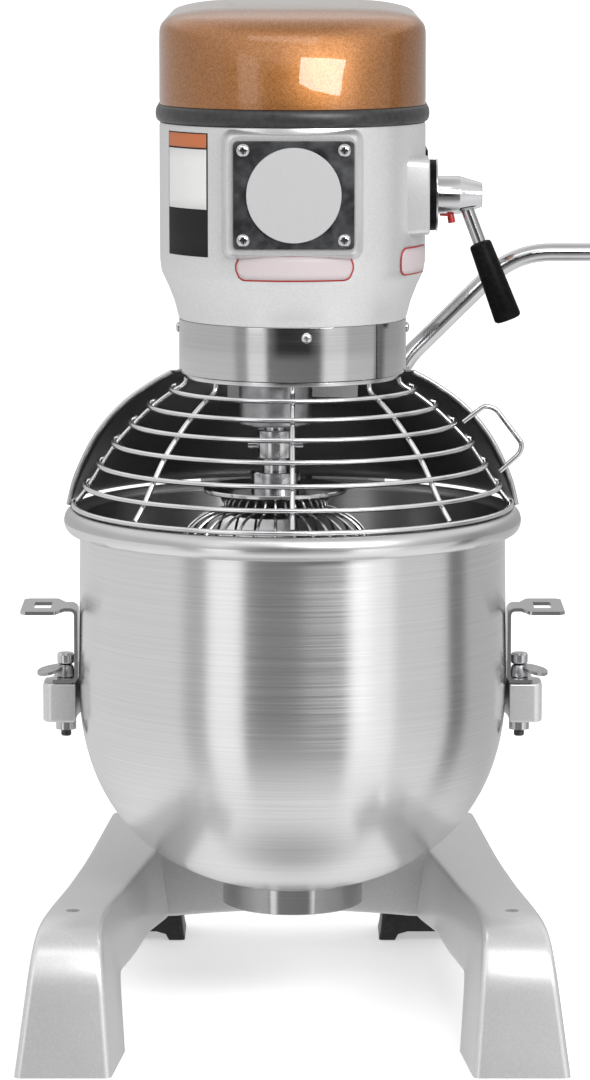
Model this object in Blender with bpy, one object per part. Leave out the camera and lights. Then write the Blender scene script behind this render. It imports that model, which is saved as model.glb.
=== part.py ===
"""Commercial planetary stand mixer with a twenty litre bowl, as an assembly of separate parts.

All sizes are in millimetres and are turned into metres when a mesh is made.  +Z is up and the
front is -Y.  Every piece is drawn about the mixing axis (x = 0, y = 0, floor at z = 0), and the
whole machine hangs under one empty that puts the middle of its footprint on the origin.
"""
import math

import bmesh
import bpy
from mathutils import Matrix, Vector

# ---- driving dimensions (mm) -------------------------------------------------------------------
HEIGHT = 780.0           # floor to the top of the cover
FRONT, REAR = -228.0, 288.0
LEFT, RIGHT = -210.0, 305.0   # bowl bracket on the left, end of the lift lever on the right
GAP = 0.3                # clearance kept between touching pieces

HEAD_R = 102.0           # half width of the head, and radius of its round front
HEAD_LOW, HEAD_TOP = 543.0, 693.7
TAPER_Z = 580.0          # height where the head starts to narrow towards the collar
HEAD_WALL = 6.0
COLLAR_R, COLLAR_LOW = 87.5, 501.5
SEAL_TOP = 706.7

BOWL_R, BOWL_DEEP = 166.2, 164.0   # widest radius, and depth of the rounded bottom
BOWL_BELLY = 262.0       # height where the rounded bottom starts
BOWL_POWER = 2.3         # fullness of the rounded bottom, 2 would be an ellipse
BOWL_WALL = 1.8
BOWL_LIP = 164.6         # wall radius just under the rolled rim
RIM_R, RIM_Z = 170.0, 386.4
RIM_HALF_W, RIM_HALF_H = 7.0, 9.1

BASE_TOP = 96.0
LEG_CREST = 107.5        # the legs rise towards their front bend
LEG_UNDER = 39.0
WEB_FRONT = 140.0

COLUMN_HALF, COLUMN_FRONT, COLUMN_REAR = 75.0, 188.0, 278.0
SLIDE_FACE = 200.0       # flat front of the column that the yoke runs on

YOKE_LOW, YOKE_TOP = 228.0, 259.0
CLAMP_X = 176.6          # clamp bolts stand this far either side of the axis
LIFT_Y, LIFT_Z = 248.0, 466.0
LIFT_PITCH_R = 36.0      # pitch radius of the lift sector
LIFT_TRAVEL = 40.0
GRIP_START = 250.0       # inner end of the lift lever's grip
RACK_MODULE = 3.0

ORBIT_X, ORBIT_Y = -13.0, -49.3    # agitator shaft, which circles the mixing axis
PLANET_MODULE, RING_TEETH, PLANET_TEETH = 3.0, 46, 12
TRAIN_MODULE = 4.125     # gear box pairs share one centre distance of 66 mm
INPUT_Y = 66.0
TRAIN_Z = 608.0          # middle gear pair
MAIN_TEETH = {-20.0: 20, 0.0: 16, 20.0: 12}        # offset from TRAIN_Z: teeth, main shaft
CLUSTER_TEETH = {-30.0: 12, 0.0: 16, 30.0: 20}     # the same for the sliding cluster
FACE = 4.0               # half the width of a gear

SHIFT_Y, SHIFT_Z = -20.0, 638.4
CRANK = 15.6             # shift crank, 10 mm of fork travel at 40 degrees
MOTOR_Y, MOTOR_R = 225.0, 46.0
BELT_Z = 672.0
PULLEY_IN_R, PULLEY_MOTOR_R = 45.0, 15.0

GUARD_WIRE = 2.0
GUARD_ARCS = ((94.6, 488.0), (111.3, 475.5), (125.6, 462.0), (139.2, 447.0), (150.2, 430.5),
              (160.7, 413.7), (169.4, 398.3))      # radius and height of each hoop

COLOURS = {
    "cast_paint": ((0.60, 0.60, 0.60), 0.35, 0.42),
    "copper_paint": ((0.62, 0.28, 0.08), 0.55, 0.25),
    "stainless": ((0.66, 0.66, 0.67), 1.0, 0.28),
    "chrome": ((0.75, 0.75, 0.76), 1.0, 0.12),
    "steel": ((0.42, 0.42, 0.43), 1.0, 0.38),
    "black_rubber": ((0.02, 0.02, 0.02), 0.0, 0.62),
    "black_plastic": ((0.015, 0.015, 0.015), 0.0, 0.40),
    "dark_plate": ((0.05, 0.05, 0.055), 0.2, 0.45),
    "grey_disc": ((0.62, 0.62, 0.63), 0.3, 0.40),
    "motor_grey": ((0.22, 0.24, 0.26), 0.3, 0.50),
    "green_button": ((0.02, 0.35, 0.08), 0.0, 0.35),
    "red_button": ((0.50, 0.02, 0.02), 0.0, 0.35),
}


# ---- scene, materials and frames ---------------------------------------------------------------
def clear_scene():
    for obj in list(bpy.data.objects):
        bpy.data.objects.remove(obj, do_unlink=True)


def material(name):
    """One Principled material for each object, so a part can be recoloured on its own."""
    colour, metallic, roughness = COLOURS[name]
    mat = bpy.data.materials.new(name)
    mat.use_nodes = True
    shader = mat.node_tree.nodes["Principled BSDF"]
    shader.inputs["Base Color"].default_value = (*colour, 1.0)
    shader.inputs["Metallic"].default_value = metallic
    shader.inputs["Roughness"].default_value = roughness
    mat.diffuse_color = (*colour, 1.0)
    return mat


def empty(name, place, parent=None, parent_place=(0.0, 0.0, 0.0)):
    """An empty at a place given about the mixing axis."""
    obj = bpy.data.objects.new(name, None)
    bpy.context.scene.collection.objects.link(obj)
    obj.parent = parent
    obj.location = (Vector(place) - Vector(parent_place)) * 0.001
    obj.empty_display_size = 0.03
    return {"object": obj, "place": Vector(place)}


def child(name, place, parent):
    return empty(name, place, parent["object"], parent["place"])


def as_mesh(name, bm):
    bmesh.ops.remove_doubles(bm, verts=bm.verts, dist=0.0005)
    bmesh.ops.recalc_face_normals(bm, faces=bm.faces)
    mesh = bpy.data.meshes.new(name)
    bm.to_mesh(mesh)
    bm.free()
    mesh.shade_smooth()
    mesh.set_sharp_from_angle(angle=math.radians(32.0))
    return mesh


def add(name, shape, finish, pivot):
    """Turn a bmesh in millimetres into a named object on its pivot."""
    bmesh.ops.translate(shape, verts=shape.verts, vec=-pivot["place"])
    mesh = as_mesh(name, shape)
    mesh.transform(Matrix.Scale(0.001, 4))
    mesh.materials.append(material(finish))
    obj = bpy.data.objects.new(name, mesh)
    bpy.context.scene.collection.objects.link(obj)
    obj.parent = pivot["object"]
    return obj


def tool(obj, shape, pivot, operation):
    """Boolean another shape into obj; the tool stays in the file as a hidden wire guide."""
    bmesh.ops.translate(shape, verts=shape.verts, vec=-pivot["place"])
    label = "tool_%s_%d" % (obj.name, len(obj.modifiers))
    mesh = as_mesh(label, shape)
    mesh.transform(Matrix.Scale(0.001, 4))
    guide = bpy.data.objects.new(label, mesh)
    bpy.context.scene.collection.objects.link(guide)
    guide.parent = pivot["object"]
    guide.hide_render = True
    guide.display_type = "WIRE"
    modifier = obj.modifiers.new(label, "BOOLEAN")
    modifier.operation = operation
    modifier.solver = "EXACT"
    modifier.object = guide


def cut(obj, shape, pivot):
    tool(obj, shape, pivot, "DIFFERENCE")


def fuse(obj, shape, pivot):
    tool(obj, shape, pivot, "UNION")


# ---- shapes ------------------------------------------------------------------------------------
def placed(axis, u, v, w):
    """Point from two outline coordinates and a height along the named axis."""
    return {"X": (w, u, v), "Y": (u, w, v), "Z": (u, v, w)}[axis]


def skin(rings, close_ends=True, closed_loop=False):
    """Join equal rings of points with quads and cap the two ends."""
    bm = bmesh.new()
    rows = [[bm.verts.new(p) for p in ring] for ring in rings]
    pairs = list(zip(rows, rows[1:]))
    if closed_loop:
        pairs.append((rows[-1], rows[0]))
    for low, high in pairs:
        for i in range(len(low)):
            j = (i + 1) % len(low)
            bm.faces.new((low[i], low[j], high[j], high[i]))
    if close_ends and not closed_loop:
        bm.faces.new(rows[0])
        bm.faces.new(rows[-1])
    return bm


def prism(outline, low, high, axis="Z"):
    return skin([[placed(axis, u, v, w) for u, v in outline] for w in (low, high)])


def pipe_prism(outer, inner, low, high, axis="Z"):
    """A prism with a through hole; both outlines have the same number of points."""
    rings = [[placed(axis, u, v, w) for u, v in outline]
             for outline, w in ((outer, low), (outer, high), (inner, high), (inner, low))]
    return skin(rings, closed_loop=True)


def box(low, high):
    (x0, y0, z0), (x1, y1, z1) = low, high
    return prism([(x0, y0), (x1, y0), (x1, y1), (x0, y1)], z0, z1)


def circle(radius, count, centre=(0.0, 0.0), phase=0.0):
    step = math.tau / count
    return [(centre[0] + radius * math.cos(phase + step * i),
             centre[1] + radius * math.sin(phase + step * i)) for i in range(count)]


def rod(axis, radius, low, high, centre=(0.0, 0.0), sides=16):
    return prism(circle(radius, sides, centre), low, high, axis)


def turned(profile, steps, centre=(0.0, 0.0), axis="Z", start=0.0, sweep=math.tau):
    """Turn a closed (radius, height) profile about an axis; a part turn gets flat ends."""
    full = abs(sweep - math.tau) < 1e-6
    count = steps if full else steps + 1
    rings = []
    for i in range(count):
        angle = start + sweep * i / steps
        rings.append([placed(axis, centre[0] + r * math.cos(angle),
                             centre[1] + r * math.sin(angle), h) for r, h in profile])
    bm = skin(rings, close_ends=not full, closed_loop=full)
    bmesh.ops.remove_doubles(bm, verts=bm.verts, dist=0.0005)
    loose = [edge for edge in bm.edges if not edge.link_faces]
    bmesh.ops.delete(bm, geom=loose, context="EDGES")
    return bm


def tube(points, radius, sides=6, end_radius=None):
    """A round bar along a line of points, with flat ends; it may taper to end_radius."""
    points = [Vector(p) for p in points]
    end_radius = radius if end_radius is None else end_radius
    tangents = []
    for i in range(len(points)):
        before, after = points[max(i - 1, 0)], points[min(i + 1, len(points) - 1)]
        tangents.append((after - before).normalized())
    side = tangents[0].orthogonal().normalized()
    rings = []
    for i, (point, tangent) in enumerate(zip(points, tangents)):
        side = (side - tangent * side.dot(tangent)).normalized()
        up = tangent.cross(side)
        r = radius + (end_radius - radius) * i / (len(points) - 1)
        rings.append([point + side * u + up * v for u, v in circle(r, sides)])
    return skin(rings)


def gear_outline(teeth, module, centre=(0.0, 0.0), point_at=0.0, internal=False):
    """Stub teeth with plain flanks; a tooth points at the angle point_at."""
    pitch_r = teeth * module / 2.0
    add_h, ded_h = 0.75 * module, 1.05 * module
    if internal:
        tip, root = pitch_r - add_h, pitch_r + ded_h
    else:
        tip, root = pitch_r + add_h, pitch_r - ded_h
    pitch = math.tau / teeth
    outline = []
    for tooth in range(teeth):
        mid = point_at + tooth * pitch
        for radius, part in ((root, -0.32), (tip, -0.12), (tip, 0.12), (root, 0.32)):
            angle = mid + part * pitch
            outline.append((centre[0] + radius * math.cos(angle),
                            centre[1] + radius * math.sin(angle)))
    return outline


def head_outline(half_width, rear, corner, front_steps=16, corner_steps=3):
    """Plan of the head: half round at the front, straight sides, rounded rear corners."""
    points = [(half_width * math.cos(a), half_width * math.sin(a))
              for a in (-math.pi + math.pi * i / front_steps for i in range(front_steps + 1))]
    for side in (1, -1):
        centre = (side * (half_width - corner), rear - corner)
        for i in range(corner_steps + 1):
            turn = math.pi / 2 * i / corner_steps
            angle = turn if side > 0 else math.pi / 2 + turn
            points.append((centre[0] + corner * math.cos(angle),
                           centre[1] + corner * math.sin(angle)))
    return points


def cover_rings(levels):
    """Rings of the cover from (height, inset all round, lean of the front) levels."""
    rings = []
    for z, inset, lean in levels:
        flat = 1 - lean / (HEAD_R - inset)
        plan = head_outline(HEAD_R - inset, REAR - 4 - inset, max(6.0, 55 - inset))
        rings.append([(x, y * flat if y < 0 else y, z) for x, y in plan])
    return rings


def bowl_bottom(radius, depth, steps):
    """Points of the rounded bottom from the belly to the lowest point."""
    points = []
    for i in range(steps + 1):
        angle = math.pi / 2 * i / steps
        part = math.sin(angle) ** (2.0 / BOWL_POWER)
        points.append((radius * math.cos(angle) ** (2.0 / BOWL_POWER), BOWL_BELLY - depth * part))
    points[-1] = (0.0, BOWL_BELLY - depth)
    return points


# ---- frame of the machine ----------------------------------------------------------------------
def make_base(root):
    """Two legs that run forward and bend down to the floor, joined by an arched web."""
    sections = [   # outer top, inner top, inner bottom, outer bottom of the right leg
        ((153, REAR, BASE_TOP), (88, REAR, BASE_TOP), (88, REAR, LEG_UNDER), (155, REAR, LEG_UNDER)),
        ((164, 134, BASE_TOP), (110, 134, BASE_TOP), (100, 134, LEG_UNDER), (168, 134, LEG_UNDER)),
        ((168, 80, 97), (116.5, 80, 97), (114, 80, LEG_UNDER), (172.5, 80, LEG_UNDER)),
        ((176, -24, 101), (128, -24, 101), (121, -24, 46), (181, -24, 46)),
        ((183, -118, LEG_CREST), (138, -118, LEG_CREST), (129.5, -127, 55), (192, -127, 55)),
        ((187.5, -160, LEG_CREST), (142, -160, LEG_CREST), (129, -132, 44), (195, -132, 44)),
        ((191, -188, 103), (142, -188, 103), (128, -136, 28), (198.5, -136, 28)),
        ((193, -201, 94), (141.5, -201, 94), (127.2, -139, 16), (201.5, -139, 16)),
        ((195.5, -210.5, 78), (140, -210.5, 78), (126.5, -141, 7), (204.5, -141, 7)),
        ((206, FRONT, 0), (134, FRONT, 0), (126, -142, 0), (206, -142, 0)),
    ]
    left = [[(-x, y, z) for x, y, z in ring] for ring in sections]
    base = add("base_casting", skin(sections), "cast_paint", root)
    fuse(base, skin(left), root)
    arch = [(-128, LEG_UNDER + 3), (-96, LEG_UNDER + 0.5), (-55, 43), (0, 44), (55, 43),
            (96, LEG_UNDER + 0.5), (128, LEG_UNDER + 3), (128, BASE_TOP), (-128, BASE_TOP)]
    fuse(base, prism(arch, WEB_FRONT, REAR, "Y"), root)
    for side in (-1, 1):
        cut(base, rod("Z", 4.5, 94.0, 120.0, (side * 165.0, -142.0), 10), root)
    return base


def make_column(root):
    """Channel section with a slide pocket in front, a rack slot and holes for the lift shaft."""
    wide, rail = COLUMN_HALF, 61.0
    wall = SLIDE_FACE + 6.0
    outline = [(-wide, COLUMN_FRONT), (-rail, COLUMN_FRONT), (-rail, SLIDE_FACE), (rail, SLIDE_FACE),
               (rail, COLUMN_FRONT), (wide, COLUMN_FRONT), (wide, COLUMN_REAR),
               (wide - 6, COLUMN_REAR), (wide - 6, wall), (6 - wide, wall),
               (6 - wide, COLUMN_REAR), (-wide, COLUMN_REAR)]
    top = HEAD_LOW - GAP
    column = add("column", prism(outline, BASE_TOP + GAP, top), "cast_paint", root)
    slot_low = YOKE_LOW - LIFT_TRAVEL - 8
    cut(column, box((-16, SLIDE_FACE - 2, slot_low), (16, wall + 2, top + 5)), root)
    cut(column, rod("X", 9.4, -90, 90, (LIFT_Y, LIFT_Z)), root)
    panel = box((-wide, COLUMN_REAR + GAP, BASE_TOP + 6), (wide, COLUMN_REAR + 3, top - 2))
    rear = add("rear_panel", panel, "cast_paint", root)
    for row in range(5):
        low = 430.0 + row * 14.0
        cut(rear, box((-40, COLUMN_REAR - 2, low), (40, COLUMN_REAR + 6, low + 5)), root)
    seat = COLUMN_REAR + 3 + GAP
    gland = [(4, seat), (12, seat), (12, REAR - 3), (7, REAR), (4, REAR)]
    add("cable_gland", turned(gland, 12, (45.0, 130.0), "Y"), "black_plastic", root)


def make_feet(root):
    """Wide rubber feet; the right one reaches further in under the web than the left one."""
    for name, side, reach in (("rear_foot_left", -1, 90.0), ("rear_foot_right", 1, 72.0)):
        rings = []
        for z, flare, front in ((LEG_UNDER - GAP, 0, 240), (12, 2, 232), (0.0, 3, 226)):
            inner, outer = reach + 3 - flare, 149 + flare
            corners = [(inner, front), (outer, front), (outer, REAR - 4), (inner, REAR - 4)]
            rings.append([(side * x, y, z) for x, y in corners])
        foot = add(name, skin(rings), "black_rubber", root)
        arch = [(reach + 14, -2), (138, -2), (134, 6.5), (reach + 19, 6.5)]
        cut(foot, prism([(side * x, z) for x, z in arch], 200, 300, "Y"), root)


# ---- head --------------------------------------------------------------------------------------
def make_head(root):
    corner = 42.0
    levels = [(HEAD_LOW, 14.5), (556, 11.0), (568, 6.5), (TAPER_Z, 0.5), (592, 0.0), (HEAD_TOP, 0.0)]
    rings = [[(x, y, z) for x, y in head_outline(HEAD_R - inset, REAR - 3, corner)]
             for z, inset in levels]
    head = add("head_housing", skin(rings), "cast_paint", root)
    front = [(-49, 597), (-43, 591), (43, 591), (49, 597), (49, 687), (43, HEAD_TOP - 1),
             (-43, HEAD_TOP - 1), (-49, 687)]
    fuse(head, prism(front, -104, -80, "Y"), root)
    side = [(-52, 610), (10, 610), (10, 667), (-52, 667)]
    fuse(head, prism(side, 80, 104, "X"), root)
    inner = head_outline(HEAD_R - HEAD_WALL, REAR - 3 - HEAD_WALL, corner - HEAD_WALL)
    narrow = head_outline(HEAD_R - HEAD_WALL - 12, REAR - 3 - HEAD_WALL, corner - HEAD_WALL)
    rings = [[(x, y, HEAD_LOW + 6) for x, y in narrow], [(x, y, TAPER_Z + 6) for x, y in inner],
             [(x, y, HEAD_TOP + 5) for x, y in inner]]
    cut(head, skin(rings), root)
    cut(head, rod("Z", 30.0, HEAD_LOW - 5, HEAD_LOW + 12, sides=24), root)
    cut(head, box((-60, SLIDE_FACE + GAP, HEAD_LOW - 5), (60, COLUMN_REAR - 8, HEAD_LOW + 12)), root)
    cut(head, rod("X", 8.4, 70, 110, (SHIFT_Y, SHIFT_Z)), root)

    outer = head_outline(HEAD_R + 3, REAR - 1, corner + 2)
    hole = head_outline(HEAD_R - 10, REAR - 14, corner - 10)
    add("cover_seal", pipe_prism(outer, hole, HEAD_TOP + GAP, SEAL_TOP), "black_rubber", root)

    low = SEAL_TOP + GAP
    outer = [(low, 0, 0), (722, 0, 1.5), (742, 0, 5), (758, 0, 10.5), (765, 0.6, 14),
             (769.5, 3, 17), (773.5, 8, 20), (776.5, 18, 22), (778.8, 32, 22), (HEIGHT, 49, 20)]
    cover = add("top_cover", skin(cover_rings(outer)), "copper_paint", root)
    inner = [(low - 4, 3, 0), (722, 3, 1.5), (742, 3, 5), (758, 3.4, 11), (768, 7, 17), (775.2, 24, 22)]
    cut(cover, skin(cover_rings(inner)), root)

    lid = [(x, min(y, 118.0)) for x, y in head_outline(HEAD_R - HEAD_WALL - 1, 118, 8)]
    lid = add("gearbox_lid", prism(lid, 658.5, 662.5), "steel", root)
    cut(lid, rod("Z", 9.6, 650, 670, (0.0, INPUT_Y)), root)

    collar = [(COLLAR_R - 2.6, COLLAR_LOW), (COLLAR_R, COLLAR_LOW), (COLLAR_R, HEAD_LOW - GAP),
              (COLLAR_R - 2.6, HEAD_LOW - GAP)]
    add("collar_ring", turned(collar, 40), "stainless", root)
    for index, azimuth in enumerate((7.0, 92.0, -92.0)):
        add_screw("collar_screw_%d" % (index + 1), azimuth, root)


def add_screw(name, azimuth, root):
    """Pan screw on the collar; azimuth is measured from the front, towards +X."""
    angle = math.radians(azimuth)
    out = Vector((math.sin(angle), -math.cos(angle), 0.0))
    foot = out * (COLLAR_R + GAP) + Vector((0, 0, 535.0))
    add(name, tube([foot, foot + out * 2.4], 4.0, 8, 3.0), "stainless", root)


def make_front_plate(root):
    face, middle = -104.0, 643.8
    plate = [(-44.5, middle - 40.6), (46.5, middle - 40.6), (46.5, middle + 40.6), (-44.5, middle + 40.6)]
    add("front_plate", prism(plate, face - 3, face - GAP, "Y"), "dark_plate", root)
    disc = circle(35.7, 32, (1.0, middle))
    add("front_disc", prism(disc, face - 5.5, face - 3 - GAP, "Y"), "grey_disc", root)
    for row in (0, 1):
        for side in (0, 1):
            centre = (1.0 + (side - 0.5) * 75.4, middle + (row - 0.5) * 67.0)
            name = "plate_screw_%d" % (2 * row + side + 1)
            add(name, rod("Y", 5.0, face - 6, face - 3 - GAP, centre, 10), "chrome", root)


def make_controls(root):
    """Start and stop buttons in a box on the right of the head."""
    x0, y0, y1 = HEAD_R + GAP, 120.0, 180.0
    switch_box = add("switch_box", box((x0, y0, 612), (x0 + 5, y1, 664)), "black_plastic", root)
    for name, y, finish in (("start_button", 136.0, "green_button"), ("stop_button", 164.0, "red_button")):
        cut(switch_box, rod("X", 9.5, x0 + 2, x0 + 9, (y, 638.0), 16), root)
        pivot = child(name + "_slide", (x0 + 4, y, 638.0), root)
        add(name, rod("X", 9.0, x0 + 4, x0 + 8, (y, 638.0), 16), finish, pivot)


# ---- drive train -------------------------------------------------------------------------------
def make_drive(root):
    carrier = child("planetary_axis", (0, 0, 506), root)
    disc = [(0, 503), (83.6, 503), (83.6, 509.4), (20, 509.4), (20, 512), (0, 512)]
    plate = add("planet_carrier", turned(disc, 32), "steel", carrier)
    fuse(plate, rod("Z", 27.6, 466, 504, (ORBIT_X, ORBIT_Y), 20), carrier)
    cut(plate, rod("Z", 8.5, 460, 520, (ORBIT_X, ORBIT_Y), 16), carrier)

    shaft = add("main_shaft", rod("Z", 14.0, 512.4, 652, sides=18), "steel", carrier)
    for offset, teeth in MAIN_TEETH.items():
        outline = gear_outline(teeth, TRAIN_MODULE, point_at=math.pi / 2)
        middle = TRAIN_Z + offset
        fuse(shaft, prism(outline, middle - FACE, middle + FACE), carrier)

    teeth = gear_outline(RING_TEETH, PLANET_MODULE, internal=True,
                         point_at=math.atan2(ORBIT_Y, ORBIT_X))
    rim = circle(COLLAR_R - 3.2, len(teeth), phase=math.atan2(teeth[0][1], teeth[0][0]))
    add("ring_gear", pipe_prism(rim, teeth, 511, HEAD_LOW - GAP), "steel", root)
    bearing = [(14.4, 545), (29.6, 545), (29.6, 556), (14.4, 556)]
    add("main_bearing", turned(bearing, 24), "steel", root)

    agitator = child("agitator_axis", (ORBIT_X, ORBIT_Y, 506), carrier)
    centre = (ORBIT_X, ORBIT_Y)
    add("agitator_shaft", rod("Z", 8.0, 436.4, 532, centre), "steel", agitator)
    outline = gear_outline(PLANET_TEETH, PLANET_MODULE, centre,
                           math.atan2(ORBIT_Y, ORBIT_X) + math.pi / PLANET_TEETH)
    start = math.atan2(outline[0][1] - centre[1], outline[0][0] - centre[0])
    bore = circle(8.4, len(outline), centre, start)
    add("planet_pinion", pipe_prism(outline, bore, 516, 531), "steel", agitator)
    make_whisk(agitator, centre)

    fork = child("shift_fork_slide", (0, INPUT_Y, TRAIN_Z), root)
    cluster = child("cluster_axis", (0, INPUT_Y, TRAIN_Z), fork)
    sleeve = rod("Z", 13.0, TRAIN_Z - 34, TRAIN_Z + 34, (0.0, INPUT_Y), 12)
    gears = add("gear_cluster", sleeve, "steel", cluster)
    for offset, count in CLUSTER_TEETH.items():
        outline = gear_outline(count, TRAIN_MODULE, (0.0, INPUT_Y), -math.pi / 2 + math.pi / count)
        middle = TRAIN_Z + offset
        fuse(gears, prism(outline, middle - FACE, middle + FACE), cluster)
    fuse(gears, rod("Z", 17.5, TRAIN_Z + 12.8, TRAIN_Z + 15, (0.0, INPUT_Y), 16), cluster)
    cut(gears, prism(circle(9.6, 6, (0.0, INPUT_Y)), TRAIN_Z - 50, TRAIN_Z + 50), cluster)
    make_fork(fork)

    spin = child("input_axis", (0, INPUT_Y, TRAIN_Z), root)
    add("input_shaft", prism(circle(9.0, 6, (0.0, INPUT_Y)), 549.6, 664), "steel", spin)
    wheel = [(0, BELT_Z - 7), (PULLEY_IN_R, BELT_Z - 7), (PULLEY_IN_R, BELT_Z + 7), (0, BELT_Z + 7)]
    add("input_pulley", turned(wheel, 32, (0.0, INPUT_Y)), "steel", spin)

    motor = child("motor_axis", (0, MOTOR_Y, BELT_Z), root)
    body = [(0, 556), (MOTOR_R, 556), (MOTOR_R, 648), (20, 648), (20, 654), (0, 654)]
    add("motor_body", turned(body, 28, (0.0, MOTOR_Y)), "motor_grey", root)
    wheel = [(0, 655), (6, 655), (6, BELT_Z - 7), (PULLEY_MOTOR_R, BELT_Z - 7),
             (PULLEY_MOTOR_R, BELT_Z + 7), (0, BELT_Z + 7)]
    add("motor_pulley", turned(wheel, 20, (0.0, MOTOR_Y)), "steel", motor)
    add("drive_belt", belt_shape(), "black_rubber", root)


def belt_shape():
    """Open belt round both pulleys: two arcs joined by their outer tangents."""
    reach = MOTOR_Y - INPUT_Y
    lean = math.asin((PULLEY_IN_R - PULLEY_MOTOR_R) / reach)
    loops = []
    for extra in (GAP + 0.4, 4.0):
        points = []
        for i in range(17):        # round the front of the large pulley
            angle = math.pi - lean + (math.pi + 2 * lean) * i / 16
            points.append(((PULLEY_IN_R + extra) * math.cos(angle),
                           INPUT_Y + (PULLEY_IN_R + extra) * math.sin(angle)))
        for i in range(9):         # round the back of the small pulley
            angle = lean + (math.pi - 2 * lean) * i / 8
            points.append(((PULLEY_MOTOR_R + extra) * math.cos(angle),
                           MOTOR_Y + (PULLEY_MOTOR_R + extra) * math.sin(angle)))
        loops.append(points)
    return pipe_prism(loops[1], loops[0], BELT_Z - 5, BELT_Z + 5)


def make_fork(fork):
    """Fork round the cluster's groove, with an arm to a slotted tab beside the shift crank."""
    low, high = TRAIN_Z + 4.6, TRAIN_Z + 12.2
    plan = [(-15, INPUT_Y - 18), (88, INPUT_Y - 18), (88, INPUT_Y + 18), (-15, INPUT_Y + 18),
            (-15, INPUT_Y + 13.8), (20, INPUT_Y + 13.8), (20, INPUT_Y - 13.8), (-15, INPUT_Y - 13.8)]
    body = add("shift_fork", prism(plan, low, high), "steel", fork)
    tab = [(SHIFT_Y - 2, low + 0.1), (INPUT_Y - 10, low + 0.1), (INPUT_Y - 10, high - 0.1),
           (6, high + 6), (6, 646.4), (SHIFT_Y - 2, 646.4)]
    fuse(body, prism(tab, 83.0, 87.8, "X"), fork)
    pin_y = SHIFT_Y + CRANK
    cut(body, box((80, pin_y - 8.5, SHIFT_Z - 3.8), (90, pin_y + 4.5, SHIFT_Z + 3.8)), fork)


def make_whisk(agitator, centre):
    head = [(0, 399), (44, 399), (41, 414), (55, 414), (55, 417.5), (19, 420), (19, 430), (10, 430),
            (10, 440), (14, 440), (14, 462), (8.4, 462), (8.4, 436), (0, 436)]
    add("whisk_head", turned(head, 20, centre), "stainless", agitator)
    plate = rod("Z", 57.0, 394.8, 398.7, centre, 24)
    wires = add("whisk_wires", plate, "stainless", agitator)
    for loop in range(4):
        deepest, widest, mid = 121.0 + 1.1 * loop, 92.0, 245.0
        half = []
        for i in range(9):
            angle = math.pi / 2 * i / 8
            half.append((widest * math.sin(angle), mid - (mid - deepest) * math.cos(angle)))
        half += [(88.5, 300.0), (80.0, 345.0), (68.0, 381.0), (56.0, 396.5)]
        turn = math.pi * loop / 4 + 0.2
        line = [(-r, z) for r, z in reversed(half[1:])] + half
        path = [(centre[0] + r * math.cos(turn), centre[1] + r * math.sin(turn), z) for r, z in line]
        fuse(wires, tube(path, 1.6, 5), agitator)


# ---- gear shift lever --------------------------------------------------------------------------
def make_shift_lever(root):
    dial = pipe_prism(circle(27.0, 20, (SHIFT_Y, SHIFT_Z)), circle(8.5, 20, (SHIFT_Y, SHIFT_Z)),
                      104 + GAP, 110, "X")
    add("speed_dial", dial, "dark_plate", root)
    lever = child("shift_axis", (104, SHIFT_Y, SHIFT_Z), root)
    profile = [(0, 88.3), (8, 88.3), (8, 110 + GAP), (14.5, 110 + GAP), (14.5, 128), (9, 144.7),
               (0, 144.7)]
    hub = add("shift_hub", turned(profile, 20, (SHIFT_Y, SHIFT_Z), "X"), "chrome", lever)
    crank = [(SHIFT_Y - 6, SHIFT_Z - 5), (SHIFT_Y + CRANK + 5, SHIFT_Z - 5),
             (SHIFT_Y + CRANK + 5, SHIFT_Z + 5), (SHIFT_Y - 6, SHIFT_Z + 5)]
    fuse(hub, prism(crank, 88.4, 90.8, "X"), lever)
    fuse(hub, rod("X", 3.0, 80.5, 90, (SHIFT_Y + CRANK, SHIFT_Z), 10), lever)
    add("shift_rod", tube([(135.2, SHIFT_Y, 622.8), (142.9, SHIFT_Y, 602.5)], 5.0, 12), "chrome", lever)
    add("shift_grip", tube([(143.1, SHIFT_Y, 602), (165.4, SHIFT_Y, 543)], 8.6, 14, 10.5),
        "black_plastic", lever)


# ---- bowl, yoke and clamps ---------------------------------------------------------------------
def make_bowl(yoke):
    outer = bowl_bottom(BOWL_R, BOWL_DEEP, 8)
    inner = bowl_bottom(BOWL_R - BOWL_WALL, BOWL_DEEP - BOWL_WALL, 8)
    start, turns = math.radians(-140), 6
    rim = [(RIM_R + RIM_HALF_W * math.cos(start + math.radians(280) * i / turns),
            RIM_Z + RIM_HALF_H * math.sin(start + math.radians(280) * i / turns))
           for i in range(turns + 1)]
    profile = [(BOWL_LIP, 378.5)] + rim + [(BOWL_LIP - BOWL_WALL, 389), *inner, *reversed(outer)]
    add("bowl", turned(profile, 36), "stainless", yoke)
    low = 84.0
    ring = [(50.5, low), (54.5, low)]
    for radius in (54.5, 50.5):
        part = (1.0 - (radius / BOWL_R) ** BOWL_POWER) ** (1.0 / BOWL_POWER)
        ring.append((radius, BOWL_BELLY - BOWL_DEEP * part - 0.6))
    add("bowl_foot_ring", turned(ring, 28), "stainless", yoke)


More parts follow.
